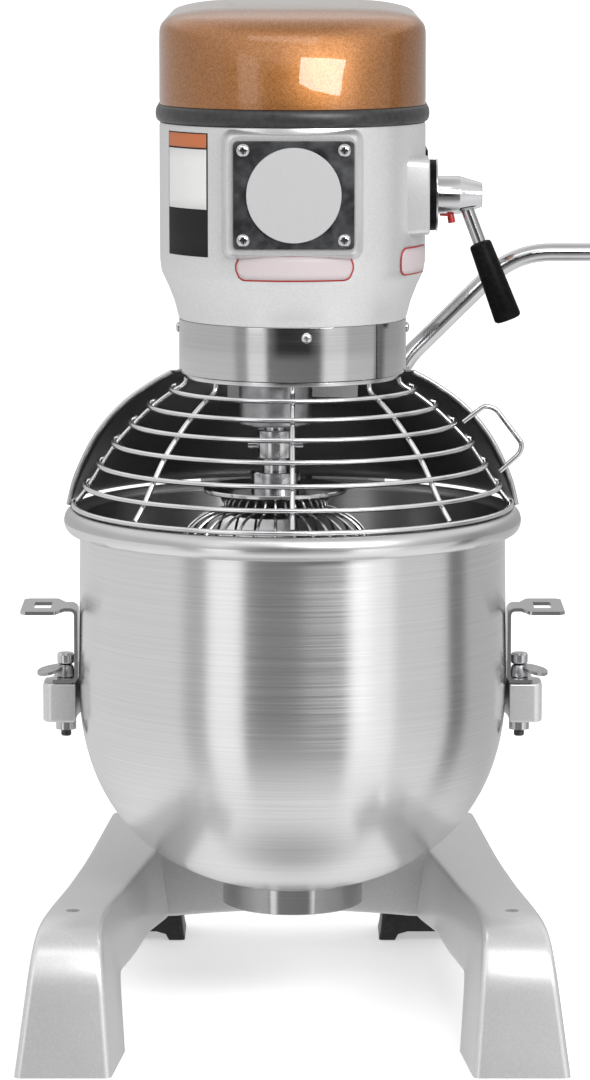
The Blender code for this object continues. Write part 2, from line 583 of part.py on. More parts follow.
def make_bracket(name, side, yoke):
    """Strap down the side of the bowl: carrying flange on top, clamp ear at the bottom."""
    near, far = BOWL_R + GAP + 0.1, -LEFT
    strap = [(far, 315.5), (far, 318.5), (near, 318.5), (near, YOKE_TOP + GAP), (186, YOKE_TOP + GAP),
             (186, YOKE_TOP + 3.2), (near + 2.6, YOKE_TOP + 3.2), (near + 2.6, 315.5)]
    strap = [(side * x, z) for x, z in strap]
    body = add(name, prism(strap, -16.5, 16.5, "Y"), "stainless", yoke)
    ends = sorted((side * 181.0, side * far))
    fuse(body, box((ends[0], -34, 315.5), (ends[1], 34, 318.5)), yoke)
    ends = sorted((side * 187.0, side * 201.0))
    cut(body, box((ends[0], -15, 310), (ends[1], 15, 325)), yoke)
    cut(body, rod("Z", 5.2, 250, 270, (side * CLAMP_X, 0.0), 14), yoke)


def make_yoke(root):
    yoke = child("bowl_lift_slide", (0, SLIDE_FACE, YOKE_LOW), root)
    inner_r, outer_r, steps = 168.4, 187.0, 24
    outline = [(inner_r, -15), (190, -15), (194, -10), (194, 14)]
    meet = math.acos(60.0 / outer_r)
    outline += [(outer_r * math.cos(a), outer_r * math.sin(a))
                for a in (0.12 + (meet - 0.12) * i / 8 for i in range(9))]
    outline += [(60, SLIDE_FACE - GAP)]
    outline += [(-x, y) for x, y in reversed(outline)]
    outline += [(-inner_r * math.cos(a), inner_r * math.sin(a))
                for a in (math.pi * i / steps for i in range(1, steps))]
    body = add("bowl_yoke", prism(outline, YOKE_LOW, YOKE_TOP), "cast_paint", yoke)
    fuse(body, box((-50, 180, YOKE_LOW - 14), (50, SLIDE_FACE - GAP, YOKE_TOP + 40)), yoke)
    for side in (-1, 1):
        cut(body, rod("Z", 5.2, 220, 265, (side * CLAMP_X, 0.0), 14), yoke)
    make_bowl(yoke)
    for name, side in (("left", -1), ("right", 1)):
        make_bracket("bowl_bracket_" + name, side, yoke)
        bolt = [(0, 215.5), (4, 215.5), (4, 221), (8, 221), (8, YOKE_LOW - GAP), (4.7, YOKE_LOW - GAP),
                (4.7, 272), (6.6, 273), (6.6, 281), (0, 281)]
        centre = (side * CLAMP_X, 0.0)
        add("clamp_bolt_" + name, turned(bolt, 14, centre), "steel", yoke)
        pivot = child("clamp_axis_" + name, (side * CLAMP_X, 0.0, 265.0), yoke)
        make_clamp("clamp_lever_" + name, side, pivot)
    make_lift(root, yoke)


def make_clamp(name, side, pivot):
    """Swing lever: a hub round the bolt and a rounded wing that presses on the bracket's ear."""
    hub = circle(6.9, 16, (side * CLAMP_X, 0.0))
    low = YOKE_TOP + 3.2 + GAP + 0.2
    lever = add(name, prism(hub, low, 271.2), "steel", pivot)
    wing = [(-4, -8), (4, -12.5), (14, -13), (20, -8), (22.4, 0), (20, 7), (14, 9.5), (6, 9), (-3, 6.5)]
    fuse(lever, prism([(side * (CLAMP_X + x), y) for x, y in wing], low, low + 4), pivot)
    cut(lever, rod("Z", 5.1, 255, 280, (side * CLAMP_X, 0.0), 14), pivot)


def make_lift(root, yoke):
    """Rack on the yoke, and the toothed sector that the lift lever turns."""
    face = LIFT_Y - LIFT_PITCH_R
    pitch = math.pi * RACK_MODULE
    low = YOKE_TOP + 60
    teeth = []
    for tooth in range(-16, 9):
        middle = LIFT_Z + tooth * pitch
        for part, reach in ((-0.32, -1.05), (-0.12, 0.75), (0.12, 0.75), (0.32, -1.05)):
            teeth.append((face + reach * RACK_MODULE, middle + part * pitch))
    teeth = [(y, z) for y, z in teeth if low < z < LIFT_Z + LIFT_TRAVEL + 12]
    back = SLIDE_FACE + GAP
    outline = [(back, YOKE_LOW), (face - 3.4, YOKE_LOW), (face - 3.4, low), *teeth,
               (face - 3.4, LIFT_Z + LIFT_TRAVEL + 13), (back, LIFT_Z + LIFT_TRAVEL + 13)]
    add("lift_rack", prism(outline, -11, 11, "X"), "steel", yoke)

    lift = child("lift_lever_axis", (0, LIFT_Y, LIFT_Z), root)
    add("lift_shaft", rod("X", 9.0, -79.5, 79.5, (LIFT_Y, LIFT_Z)), "steel", lift)
    sector = []
    step = math.tau / 24
    for tooth in range(-2, 8):
        middle = math.pi - step * (tooth + 0.5)
        for radius, part in ((-1.05, -0.32), (0.75, -0.12), (0.75, 0.12), (-1.05, 0.32)):
            angle = middle - part * step
            r = LIFT_PITCH_R + radius * RACK_MODULE
            sector.append((LIFT_Y + r * math.cos(angle), LIFT_Z + r * math.sin(angle)))
    last = math.pi - step * 8.1
    sector.append((LIFT_Y + 14 * math.cos(last), LIFT_Z + 14 * math.sin(last)))
    first = math.pi + step * 2.1
    sector += [(LIFT_Y + 14 * math.cos(last + (first - last - math.tau) * i / 6),
                LIFT_Z + 14 * math.sin(last + (first - last - math.tau) * i / 6)) for i in range(1, 7)]
    plate = add("lift_sector", prism(sector, -8, 8, "X"), "steel", lift)
    cut(plate, rod("X", 9.3, -12, 12, (LIFT_Y, LIFT_Z)), lift)

    high, bend = 573.0, 30.0
    turn = math.atan2(high - 490, 84)
    path = [(90, LIFT_Y, LIFT_Z + 12), (98, LIFT_Y, 490)]
    knee = (98 + (high - 490) / math.tan(turn), high)
    reach = bend * math.tan(turn / 2)
    centre = (knee[0] + reach, high - bend)
    path += [(centre[0] + bend * math.cos(math.pi / 2 + turn * (1 - i / 4)), LIFT_Y,
              centre[1] + bend * math.sin(math.pi / 2 + turn * (1 - i / 4))) for i in range(5)]
    path.append((GRIP_START - GAP, LIFT_Y, high))
    lever = add("lift_lever_rod", tube(path, 7.4, 12), "chrome", lift)
    fuse(lever, rod("X", 15.0, 79.9, 96.0, (LIFT_Y, LIFT_Z), 18), lift)
    add("lift_lever_grip", tube([(GRIP_START, LIFT_Y, high), (RIGHT, LIFT_Y, high)], 11.0, 14, 12.5),
        "black_plastic", lift)


# ---- guard -------------------------------------------------------------------------------------
def make_guard(root):
    """Fixed dome round the back and a wire front that turns about the mixing axis."""
    edge = [(95, 501.1), (112, 491.5), (131.3, 477.5), (146.2, 462), (157.1, 446.3), (165, 430.7),
            (171.3, 415), (175.6, 397)]
    lip = [0.0, 3.0, 5.0, 6.0, 6.0, 6.0, 4.5, 1.6]
    wall = 1.2
    outer = [(r - turned_out, z) for (r, z), turned_out in zip(edge, lip)]
    inner = [(r - wall, z - 0.7) for r, z in outer[:-1]] + [(outer[-1][0] - wall, outer[-1][1])]
    flange = [(85.2, 499.6), (85.2, 501.1)]
    sweep, edge_sweep = math.radians(175), math.radians(1.4)
    start = math.pi / 2 - sweep / 2
    profile = flange + outer + list(reversed(inner))
    shell = add("rear_guard_shell", turned(profile, 18, start=start, sweep=sweep), "stainless", root)
    lip_profile = [(r + 0.01, z) for r, z in edge[1:]] + [(r - 0.3, z) for r, z in reversed(outer[1:])]
    for angle in (start, start + sweep - edge_sweep):
        fuse(shell, turned(lip_profile, 1, start=angle, sweep=edge_sweep), root)
    cut(shell, box((-52, 90, 466), (52, 200, 520)), root)

    swing = child("guard_axis", (0, 0, 499), root)
    ring = [(80, 497.4), (84, 497.4), (84, 501.0), (80, 501.0)]
    cage = add("guard_cage", turned(ring, 32), "stainless", swing)
    for radius, height in GUARD_ARCS:
        path = []
        for i in range(13):
            angle = math.radians(-184 + 188 * i / 12)
            path.append((radius * math.cos(angle), radius * math.sin(angle), height))
        fuse(cage, tube(path, GUARD_WIRE, 5), swing)
    line = [(81.5, 499.2), (83.5, 492)]
    line += [(r - 2.4, z - 1.4) for r, z in GUARD_ARCS[:-1]]
    line.append((GUARD_ARCS[-1][0] - 1.2, GUARD_ARCS[-1][1] + 0.9))
    for azimuth in (-90, -45, 0, 45, 90):
        angle = math.radians(azimuth)
        path = [(r * math.sin(angle), -r * math.cos(angle), z) for r, z in line]
        fuse(cage, tube(path, GUARD_WIRE, 5), swing)
    loop = [(131.8, 0, 461.5), (146, 0, 472), (152.4, 0, 473.4), (158, 0, 470.5), (174, 0, 450.5),
            (177.6, 0, 442.5), (174.5, 0, 436.5), (160.2, 0, 423)]
    add("guard_handle", tube(loop, GUARD_WIRE, 8), "stainless", swing)


def main():
    clear_scene()
    centre = Vector((-(LEFT + RIGHT) / 2, -(FRONT + REAR) / 2, 0.0))
    frame = bpy.data.objects.new("mixing_axis", None)
    bpy.context.scene.collection.objects.link(frame)
    frame.location = centre * 0.001
    root = {"object": frame, "place": Vector((0.0, 0.0, 0.0))}
    make_base(root)
    make_feet(root)
    make_column(root)
    make_head(root)
    make_front_plate(root)
    make_controls(root)
    make_drive(root)
    make_shift_lever(root)
    make_yoke(root)
    make_guard(root)
    bpy.context.view_layer.update()


main()
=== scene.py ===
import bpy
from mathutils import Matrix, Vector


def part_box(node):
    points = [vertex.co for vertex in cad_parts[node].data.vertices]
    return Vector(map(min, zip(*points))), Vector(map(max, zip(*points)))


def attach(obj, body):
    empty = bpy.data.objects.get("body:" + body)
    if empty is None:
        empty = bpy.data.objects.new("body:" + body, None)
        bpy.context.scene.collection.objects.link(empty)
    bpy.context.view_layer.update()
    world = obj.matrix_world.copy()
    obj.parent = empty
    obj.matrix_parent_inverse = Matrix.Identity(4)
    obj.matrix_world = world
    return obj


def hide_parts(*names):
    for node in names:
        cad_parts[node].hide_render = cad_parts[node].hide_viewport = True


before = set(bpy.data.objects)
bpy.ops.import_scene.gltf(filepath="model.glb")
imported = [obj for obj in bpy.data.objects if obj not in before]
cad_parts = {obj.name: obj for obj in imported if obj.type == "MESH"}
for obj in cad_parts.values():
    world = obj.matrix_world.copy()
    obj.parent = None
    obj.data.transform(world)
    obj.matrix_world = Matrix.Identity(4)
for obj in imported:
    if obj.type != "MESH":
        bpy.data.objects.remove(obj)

"""Looks of the commercial stand mixer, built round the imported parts.

Shapes are drawn in millimetres about the mixing axis, with the floor at z = 0 and the front at -Y,
and TO_ROW turns them into the row frame in metres.  Azimuths run from the front towards +X.
"""
import math

import bmesh
import bpy
from mathutils import Matrix, Quaternion, Vector

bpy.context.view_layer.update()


def centre_of(node):
    low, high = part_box(node)
    return (low + high) / 2


AXIS = Vector((*centre_of("collar_ring").xy, 0.0))
TO_ROW = Matrix.Translation(AXIS) @ Matrix.Scale(0.001, 4)


def low_of(node):
    """Lowest corner of a node in millimetres about the mixing axis."""
    return (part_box(node)[0] - AXIS) * 1000


def high_of(node):
    return (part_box(node)[1] - AXIS) * 1000


# ---- sizes, from the frame where it has them (mm) ----------------------------------------------
GAP = 0.3
REAR = high_of("base_casting").y
FRONT = low_of("base_casting").y
HEAD_R, HEAD_LOW, HEAD_TOP = 102.0, low_of("head_housing").z, high_of("head_housing").z
SEAL_TOP = high_of("cover_seal").z
HEIGHT = high_of("top_cover").z
SHAFT_HOLE = 30.0
COLLAR_R, COLLAR_LOW = high_of("collar_ring").x, low_of("collar_ring").z
BASE_TOP, LEG_CREST, LEG_UNDER = 96.0, 107.5, 39.0
LEG_STEP, LEG_CORNER = 6.0, 5.5
LEG_BOLT = (165.5, -142.0)
WEB_HALF, WEB_FLAT, WEB_FRONT, WEB_UNDER = 118.0, 84.0, 140.0, 44.0
YOKE_LOW, YOKE_TOP = 228.0, 259.0
CLAMP_X = 176.6
ORBIT = (-13.0, -49.3)
SHIFT_Y, SHIFT_Z = -20.0, 638.4
LIFT_Y, LIFT_Z = 248.0, 466.0
BOWL_R, BOWL_DEEP, BOWL_BELLY, BOWL_POWER, BOWL_WALL = 166.2, 164.0, 262.0, 2.3, 1.8
RIM_START = 387.0
GUARD_FROM, GUARD_TO = -182.6, 2.6      # degrees swept by the wires
GUARD_ARCS = ((94.6, 488.0), (111.3, 475.5), (125.6, 462.0), (139.2, 447.0), (150.2, 430.5),
              (160.7, 413.7), (169.4, 398.3))


# ---- shapes ------------------------------------------------------------------------------------
def placed(axis, u, v, w):
    return {"X": (w, u, v), "Y": (u, w, v), "Z": (u, v, w)}[axis]


def skin(rings, loop=False):
    bm = bmesh.new()
    rows = [[bm.verts.new(p) for p in ring] for ring in rings]
    pairs = list(zip(rows, rows[1:])) + ([(rows[-1], rows[0])] if loop else [])
    for low, high in pairs:
        for i in range(len(low)):
            j = (i + 1) % len(low)
            bm.faces.new((low[i], low[j], high[j], high[i]))
    if not loop:
        bm.faces.new(rows[0])
        bm.faces.new(rows[-1])
    return bm


def prism(outline, low, high, axis="Z"):
    return skin([[placed(axis, u, v, w) for u, v in outline] for w in (low, high)])


def circle(radius, count, centre=(0.0, 0.0)):
    return [(centre[0] + radius * math.cos(math.tau * i / count),
             centre[1] + radius * math.sin(math.tau * i / count)) for i in range(count)]


def block(x0, x1, y0, y1, z0, z1):
    return prism([(x0, y0), (x1, y0), (x1, y1), (x0, y1)], z0, z1)


def turned(profile, steps, centre=(0.0, 0.0), axis="Z"):
    """Turn a closed (radius, height) profile right round."""
    rings = []
    for i in range(steps):
        angle = math.tau * i / steps
        rings.append([placed(axis, centre[0] + r * math.cos(angle),
                             centre[1] + r * math.sin(angle), h) for r, h in profile])
    bm = skin(rings, loop=True)
    bmesh.ops.remove_doubles(bm, verts=bm.verts, dist=0.0005)
    loose = [edge for edge in bm.edges if not edge.link_faces]
    bmesh.ops.delete(bm, geom=loose, context="EDGES")
    return bm


def tube(points, radius, sides=12, end_radius=None):
    points = [Vector(p) for p in points]
    end_radius = radius if end_radius is None else end_radius
    last = len(points) - 1
    tangents = [(points[min(i + 1, last)] - points[max(i - 1, 0)]).normalized() for i in range(last + 1)]
    side = tangents[0].orthogonal().normalized()
    rings = []
    for i, (point, tangent) in enumerate(zip(points, tangents)):
        side = (side - tangent * side.dot(tangent)).normalized()
        up = tangent.cross(side)
        r = radius + (end_radius - radius) * i / last
        rings.append([point + side * u + up * v for u, v in circle(r, sides)])
    return skin(rings)


def rounded(outline, radius, parts=4):
    """Replace each corner of an outline by a short curve."""
    points, count = [], len(outline)
    for i in range(count):
        corner = Vector(outline[i])
        before, after = Vector(outline[i - 1]), Vector(outline[(i + 1) % count])
        reach = min(radius, (before - corner).length * 0.48, (after - corner).length * 0.48)
        start = corner + (before - corner).normalized() * reach
        end = corner + (after - corner).normalized() * reach
        for k in range(parts + 1):
            t = k / parts
            points.append(start * (1 - t) ** 2 + corner * 2 * t * (1 - t) + end * t * t)
    return points


def through(points, per=6):
    """A smooth line through points of any dimension (Catmull-Rom)."""
    points = [Vector(p) for p in points]
    line = []
    for i in range(len(points) - 1):
        a, b = points[max(i - 1, 0)], points[i]
        c, d = points[i + 1], points[min(i + 2, len(points) - 1)]
        for k in range(per):
            t = k / per
            line.append(b + (c - a) * (0.5 * t) + (a * 2 - b * 5 + c * 4 - d) * (0.5 * t * t)
                        + (b * 3 - a - c * 3 + d) * (0.5 * t ** 3))
    return line + [points[-1]]


def bent(points, radius, parts=6):
    """An open line whose inner corners are rounded."""
    points = [Vector(p) for p in points]
    line = [points[0]]
    for before, corner, after in zip(points, points[1:], points[2:]):
        reach = min(radius, (before - corner).length * 0.45, (after - corner).length * 0.45)
        start = corner + (before - corner).normalized() * reach
        end = corner + (after - corner).normalized() * reach
        line += [start * (1 - k / parts) ** 2 + corner * 2 * (k / parts) * (1 - k / parts)
                 + end * (k / parts) ** 2 for k in range(parts + 1)]
    return line + [points[-1]]


def head_outline(half_width, rear, corner, front_steps=64, corner_steps=10):
    points = [(half_width * math.cos(a), half_width * math.sin(a))
              for a in (-math.pi + math.pi * i / front_steps for i in range(front_steps + 1))]
    for side in (1, -1):
        centre = (side * (half_width - corner), rear - corner)
        for i in range(corner_steps + 1):
            turn = math.pi / 2 * i / corner_steps
            angle = turn if side > 0 else math.pi / 2 + turn
            points.append((centre[0] + corner * math.cos(angle), centre[1] + corner * math.sin(angle)))
    return points


def head_radius(height):
    """Half width of the head at a height, with a soft bend where the taper starts."""
    levels = ((543.0, 87.5), (556.0, 90.8), (567.7, 95.3), (579.0, 100.6), (588.0, 101.8), (600.0, HEAD_R))
    for (z0, r0), (z1, r1) in zip(levels, levels[1:]):
        if height <= z1:
            return r0 + (r1 - r0) * max(0.0, height - z0) / (z1 - z0)
    return HEAD_R


def bowl_bottom(radius, depth, steps):
    points = []
    for i in range(steps + 1):
        angle = math.pi / 2 * i / steps
        part = math.sin(angle) ** (2.0 / BOWL_POWER)
        points.append((radius * math.cos(angle) ** (2.0 / BOWL_POWER), BOWL_BELLY - depth * part))
    points[-1] = (0.0, BOWL_BELLY - depth)
    return points


# ---- pieces ------------------------------------------------------------------------------------
def make(name, bm, surface, bevel=0.0, segments=2, sharp=32.0):
    """A finished object from a bmesh in millimetres."""
    bmesh.ops.remove_doubles(bm, verts=bm.verts, dist=0.0005)
    bmesh.ops.recalc_face_normals(bm, faces=bm.faces)
    bmesh.ops.transform(bm, matrix=TO_ROW, verts=bm.verts)
    mesh = bpy.data.meshes.new(name)
    bm.to_mesh(mesh)
    bm.free()
    mesh.shade_smooth()
    mesh.set_sharp_from_angle(angle=math.radians(sharp))
    mesh.materials.append(surface)
    obj = bpy.data.objects.new(name, mesh)
    bpy.context.scene.collection.objects.link(obj)
    if bevel:
        soften(obj, bevel, segments)
    return obj


def soften(obj, width, segments=2):
    bevel = obj.modifiers.new("edges", "BEVEL")
    bevel.width = width * 0.001
    bevel.segments = segments
    bevel.limit_method = "ANGLE"
    bevel.angle_limit = math.radians(35.0)
    bevel.harden_normals = True


def carve(obj, bm, operation="DIFFERENCE"):
    """Apply a boolean to obj at once and drop the tool."""
    cutter = make("carving_tool", bm, obj.data.materials[0])
    modifier = obj.modifiers.new("carve", "BOOLEAN")
    modifier.operation = operation
    modifier.solver = "EXACT"
    modifier.object = cutter
    bpy.context.view_layer.update()
    shape = obj.evaluated_get(bpy.context.evaluated_depsgraph_get())
    mesh = bpy.data.meshes.new_from_object(shape)
    obj.modifiers.clear()
    obj.data = mesh
    bpy.data.objects.remove(cutter)
    mesh.shade_smooth()
    mesh.set_sharp_from_angle(angle=math.radians(32.0))
    return obj


def merge(obj, bm):
    return carve(obj, bm, "UNION")


def fit(obj, body, slot, *nodes):
    """Let a piece ride on its body and stand for its nodes; the slot argument is not used."""
    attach(obj, body)
    if nodes:
        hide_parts(*nodes)
    return obj


# ---- materials ---------------------------------------------------------------------------------
class Surface:
    """A Principled material whose colour, roughness and bump come from noise in object space."""

    def __init__(self, name, colour, metallic, roughness, **sockets):
        self.material = bpy.data.materials.new(name)
        self.material.use_nodes = True
        self.tree = self.material.node_tree
        self.shader = self.tree.nodes["Principled BSDF"]
        self.shader.inputs["Base Color"].default_value = (*colour, 1.0)
        self.shader.inputs["Metallic"].default_value = metallic
        self.shader.inputs["Roughness"].default_value = roughness
        for socket, value in sockets.items():
            self.shader.inputs[socket.replace("_", " ")].default_value = value
        self.place = self.tree.nodes.new("ShaderNodeTexCoord").outputs["Object"]
        self.height = None

    def noise(self, scale, stretch=(1, 1, 1), detail=3.0):
        mapping = self.tree.nodes.new("ShaderNodeMapping")
        mapping.inputs["Scale"].default_value = [scale * s for s in stretch]
        self.tree.links.new(self.place, mapping.inputs["Vector"])
        texture = self.tree.nodes.new("ShaderNodeTexNoise")
        texture.inputs["Scale"].default_value = 1.0
        texture.inputs["Detail"].default_value = detail
        self.tree.links.new(mapping.outputs["Vector"], texture.inputs["Vector"])
        return texture.outputs["Fac"]

    def flakes(self, scale):
        texture = self.tree.nodes.new("ShaderNodeTexVoronoi")
        texture.inputs["Scale"].default_value = scale
        self.tree.links.new(self.place, texture.inputs["Vector"])
        spread = self.tree.nodes.new("ShaderNodeSeparateColor")
        self.tree.links.new(texture.outputs["Color"], spread.inputs["Color"])
        return spread.outputs["Red"]

    def range(self, value, low, high, start=0.3, end=0.7):
        node = self.tree.nodes.new("ShaderNodeMapRange")
        for socket, number in (("From Min", start), ("From Max", end), ("To Min", low), ("To Max", high)):
            node.inputs[socket].default_value = number
        self.tree.links.new(value, node.inputs["Value"])
        return node.outputs["Result"]

    def colours(self, value, low, high, start=0.3, end=0.7):
        mix = self.tree.nodes.new("ShaderNodeMix")
        mix.data_type = "RGBA"
        self.tree.links.new(self.range(value, 0.0, 1.0, start, end), mix.inputs["Factor"])
        mix.inputs["A"].default_value = (*low, 1.0)
        mix.inputs["B"].default_value = (*high, 1.0)
        self.tree.links.new(mix.outputs["Result"], self.shader.inputs["Base Color"])
        return self

    def rough(self, value, low, high):
        self.tree.links.new(self.range(value, low, high), self.shader.inputs["Roughness"])
        return self

    def bump(self, value, depth):
        node = self.tree.nodes.new("ShaderNodeBump")
        node.inputs["Distance"].default_value = depth * 0.001
        self.tree.links.new(value, node.inputs["Height"])
        if self.height:
            self.tree.links.new(self.height, node.inputs["Normal"])
        self.height = node.outputs["Normal"]
        self.tree.links.new(self.height, self.shader.inputs["Normal"])
        return self

    def round_brushed(self, amount):
        tangent = self.tree.nodes.new("ShaderNodeTangent")
        tangent.direction_type = "RADIAL"
        tangent.axis = "Z"
        self.tree.links.new(tangent.outputs["Tangent"], self.shader.inputs["Tangent"])
        self.shader.inputs["Anisotropic"].default_value = amount
        self.shader.inputs["Anisotropic Rotation"].default_value = 0.25
        return self


def cast_paint():
    s = Surface("cast_paint", (0.62, 0.62, 0.62), 0.6, 0.28)
    s.colours(s.flakes(900), (0.565, 0.565, 0.57), (0.615, 0.615, 0.615), 0.0, 1.0)
    s.rough(s.noise(12), 0.285, 0.325)
    return s.bump(s.noise(24, detail=1.0), 0.03).material


def copper_paint():
    s = Surface("copper_paint", (0.40, 0.16, 0.04), 0.9, 0.42, Coat_Weight=1.0, Coat_Roughness=0.02)
    s.colours(s.flakes(1100), (0.275, 0.106, 0.026), (0.42, 0.182, 0.062), 0.0, 1.0)
    s.rough(s.noise(500), 0.42, 0.50)
    return s.bump(s.noise(60), 0.05).material


def stainless_round(name, level, roughness, anisotropy=0.9):
    """Brushed round the axis: fine rings of changing height, streaked highlights."""
    s = Surface(name, (level,) * 3, 1.0, roughness)
    lines = s.noise(1.0, (4, 4, 1500), 4.0)
    s.colours(lines, (level * 0.95,) * 3, (level * 1.03, level * 1.03, level * 1.035))
    s.rough(s.noise(1.0, (7, 7, 800), 3.0), roughness - 0.03, roughness + 0.04)
    return s.bump(lines, 0.006).round_brushed(anisotropy).material


def stainless_wire():
    s = Surface("stainless_wire", (0.68, 0.68, 0.69), 1.0, 0.22)
    s.colours(s.noise(60), (0.64, 0.64, 0.65), (0.72, 0.72, 0.73))
    s.rough(s.noise(120), 0.19, 0.26)
    return s.bump(s.noise(500), 0.003).material


def satin_steel(name, level, roughness):
    s = Surface(name, (level,) * 3, 1.0, roughness)
    s.colours(s.noise(14), (level * 0.95,) * 3, (level * 1.04,) * 3)
    s.rough(s.noise(60), roughness - 0.02, roughness + 0.04)
    return s.bump(s.noise(30, detail=1.0), 0.02).material


def chrome():
    s = Surface("chrome", (0.56, 0.56, 0.57), 1.0, 0.12)
    s.colours(s.noise(35), (0.53, 0.53, 0.54), (0.60, 0.60, 0.61))
    return s.rough(s.noise(240), 0.09, 0.16).bump(s.noise(300), 0.006).material


def machined_steel():
    s = Surface("machined_steel", (0.42, 0.42, 0.43), 1.0, 0.34)
    s.colours(s.noise(120), (0.34, 0.34, 0.35), (0.50, 0.50, 0.51))
    return s.rough(s.noise(420), 0.29, 0.42).bump(s.noise(800), 0.02).material


def black_rubber():
    s = Surface("black_rubber", (0.018, 0.018, 0.019), 0.0, 0.36)
    s.colours(s.noise(220), (0.013, 0.013, 0.014), (0.026, 0.026, 0.027))
    return s.rough(s.noise(150), 0.32, 0.42).bump(s.noise(1100), 0.008).material


def black_plastic():
    s = Surface("black_plastic", (0.004, 0.004, 0.004), 0.0, 0.42, Specular_IOR_Level=0.06)
    s.colours(s.noise(260), (0.002, 0.002, 0.002), (0.006, 0.006, 0.006))
    return s.rough(s.noise(350), 0.36, 0.50).bump(s.noise(1200), 0.03).material


def dark_plate():
    s = Surface("dark_plate", (0.04, 0.04, 0.045), 0.5, 0.38)
    s.colours(s.noise(70, detail=6.0), (0.018, 0.018, 0.020), (0.070, 0.071, 0.075), 0.38, 0.66)
    return s.rough(s.noise(180), 0.28, 0.48).bump(s.noise(600), 0.03).material


def grained(name, colour, roughness, metallic=0.0, **sockets):
    """Even paint or plastic with a fine grain and slight change of tone."""
    s = Surface(name, colour, metallic, roughness, **sockets)
    s.colours(s.noise(900), tuple(c * 0.975 for c in colour), tuple(min(1.0, c * 1.02) for c in colour))
    return s.rough(s.noise(420), roughness - 0.04, roughness + 0.05).bump(s.noise(1300), 0.008).material


def dark_thread():
    s = Surface("dark_thread", (0.06, 0.06, 0.06), 1.0, 0.4)
    rings = s.noise(1.0, (60, 60, 2400), 1.0)
    # the roots of the thread are painted darker than its crests: painted shade in the grooves
    return s.colours(rings, (0.03, 0.03, 0.03), (0.16, 0.16, 0.16)).bump(rings, 0.2).material


PAINT = cast_paint()
COPPER = copper_paint()
BOWL_STEEL = stainless_round("bowl_steel", 0.70, 0.228)
COLLAR_STEEL = stainless_round("collar_steel", 0.54, 0.12, 0.3)
# the rear shell's steel is painted darker: painted shade inside the dome
SHELL_STEEL_PAINTED_SHADE = satin_steel("shell_steel_painted_shade", 0.38, 0.31)
# darker steel for the inner faces of the bowl: painted shade inside the bowl
INSIDE_PAINTED_SHADE = stainless_round("bowl_inside_painted_shade", 0.34, 0.315)
WIRE = stainless_wire()
EDGE = satin_steel("edge_steel", 0.55, 0.34)
CHROME = chrome()
STEEL = machined_steel()
RUBBER = black_rubber()
PLASTIC = black_plastic()
PLATE = dark_plate()
THREAD = dark_thread()
DISC = grained("grey_disc", (0.34, 0.34, 0.345), 0.5)
MOTOR = grained("motor_grey", (0.22, 0.24, 0.26), 0.45, 0.3)
GREEN = grained("green_button", (0.02, 0.35, 0.08), 0.34)
RED = grained("red_button", (0.34, 0.018, 0.012), 0.35)
ORANGE = grained("label_orange", (0.40, 0.11, 0.030), 0.45)
PALE = grained("label_pale", (0.58, 0.58, 0.575), 0.45)
INK = grained("label_dark", (0.016, 0.015, 0.015), 0.5, Specular_IOR_Level=0.1)
PINK = grained("label_field", (0.43, 0.375, 0.385), 0.45)


# ---- frame of the machine ----------------------------------------------------------------------
def leg_rings(side):
    """Cross sections of one leg from the rear to the foot, with rounded edges."""
    sections = [
        ((153, REAR, BASE_TOP), (88, REAR, BASE_TOP), (88, REAR, LEG_UNDER), (155, REAR, LEG_UNDER)),
        ((164, 134, BASE_TOP), (110, 134, BASE_TOP), (100, 134, LEG_UNDER), (168, 134, LEG_UNDER)),
        ((168, 80, 97), (116.5, 80, 97), (114, 80, LEG_UNDER), (172.5, 80, LEG_UNDER)),
        ((176, -24, 101), (128, -24, 101), (121, -24, 46), (181, -24, 46)),
        ((183, -118, LEG_CREST), (138, -118, LEG_CREST), (129.5, -127, 55), (192, -127, 55)),
        ((187.5, -160, LEG_CREST), (142, -160, LEG_CREST), (129, -132, 44), (195, -132, 44)),
        ((191, -188, 103), (142, -188, 103), (128, -136, 28), (198.5, -136, 28)),
        ((193, -201, 94), (141.5, -201, 94), (127.2, -139, 16), (201.5, -139, 16)),
        ((195.5, -210.5, 78), (140, -210.5, 78), (126.5, -141, 7), (204.5, -141, 7)),
        ((206, FRONT, 0), (134, FRONT, 0), (126, -142, 0), (206, -142, 0)),
    ]
    rings = []
    for low, high in zip(sections, sections[1:]):
        span = (Vector(high[0]) - Vector(low[0])).length
        parts = max(2, round(span / LEG_STEP))
        rings += [[Vector(a).lerp(Vector(b), k / parts) for a, b in zip(low, high)] for k in range(parts)]
    rings.append([Vector(p) for p in sections[-1]])
    for _ in range(4):
        rings = [rings[0]] + [[(a + b * 2 + c) / 4 for a, b, c in zip(*three)]
                              for three in zip(rings, rings[1:], rings[2:])] + [rings[-1]]
    rings = [rounded(ring, LEG_CORNER) for ring in rings]
    return [[(side * p.x, p.y, p.z) for p in ring] for ring in rings]


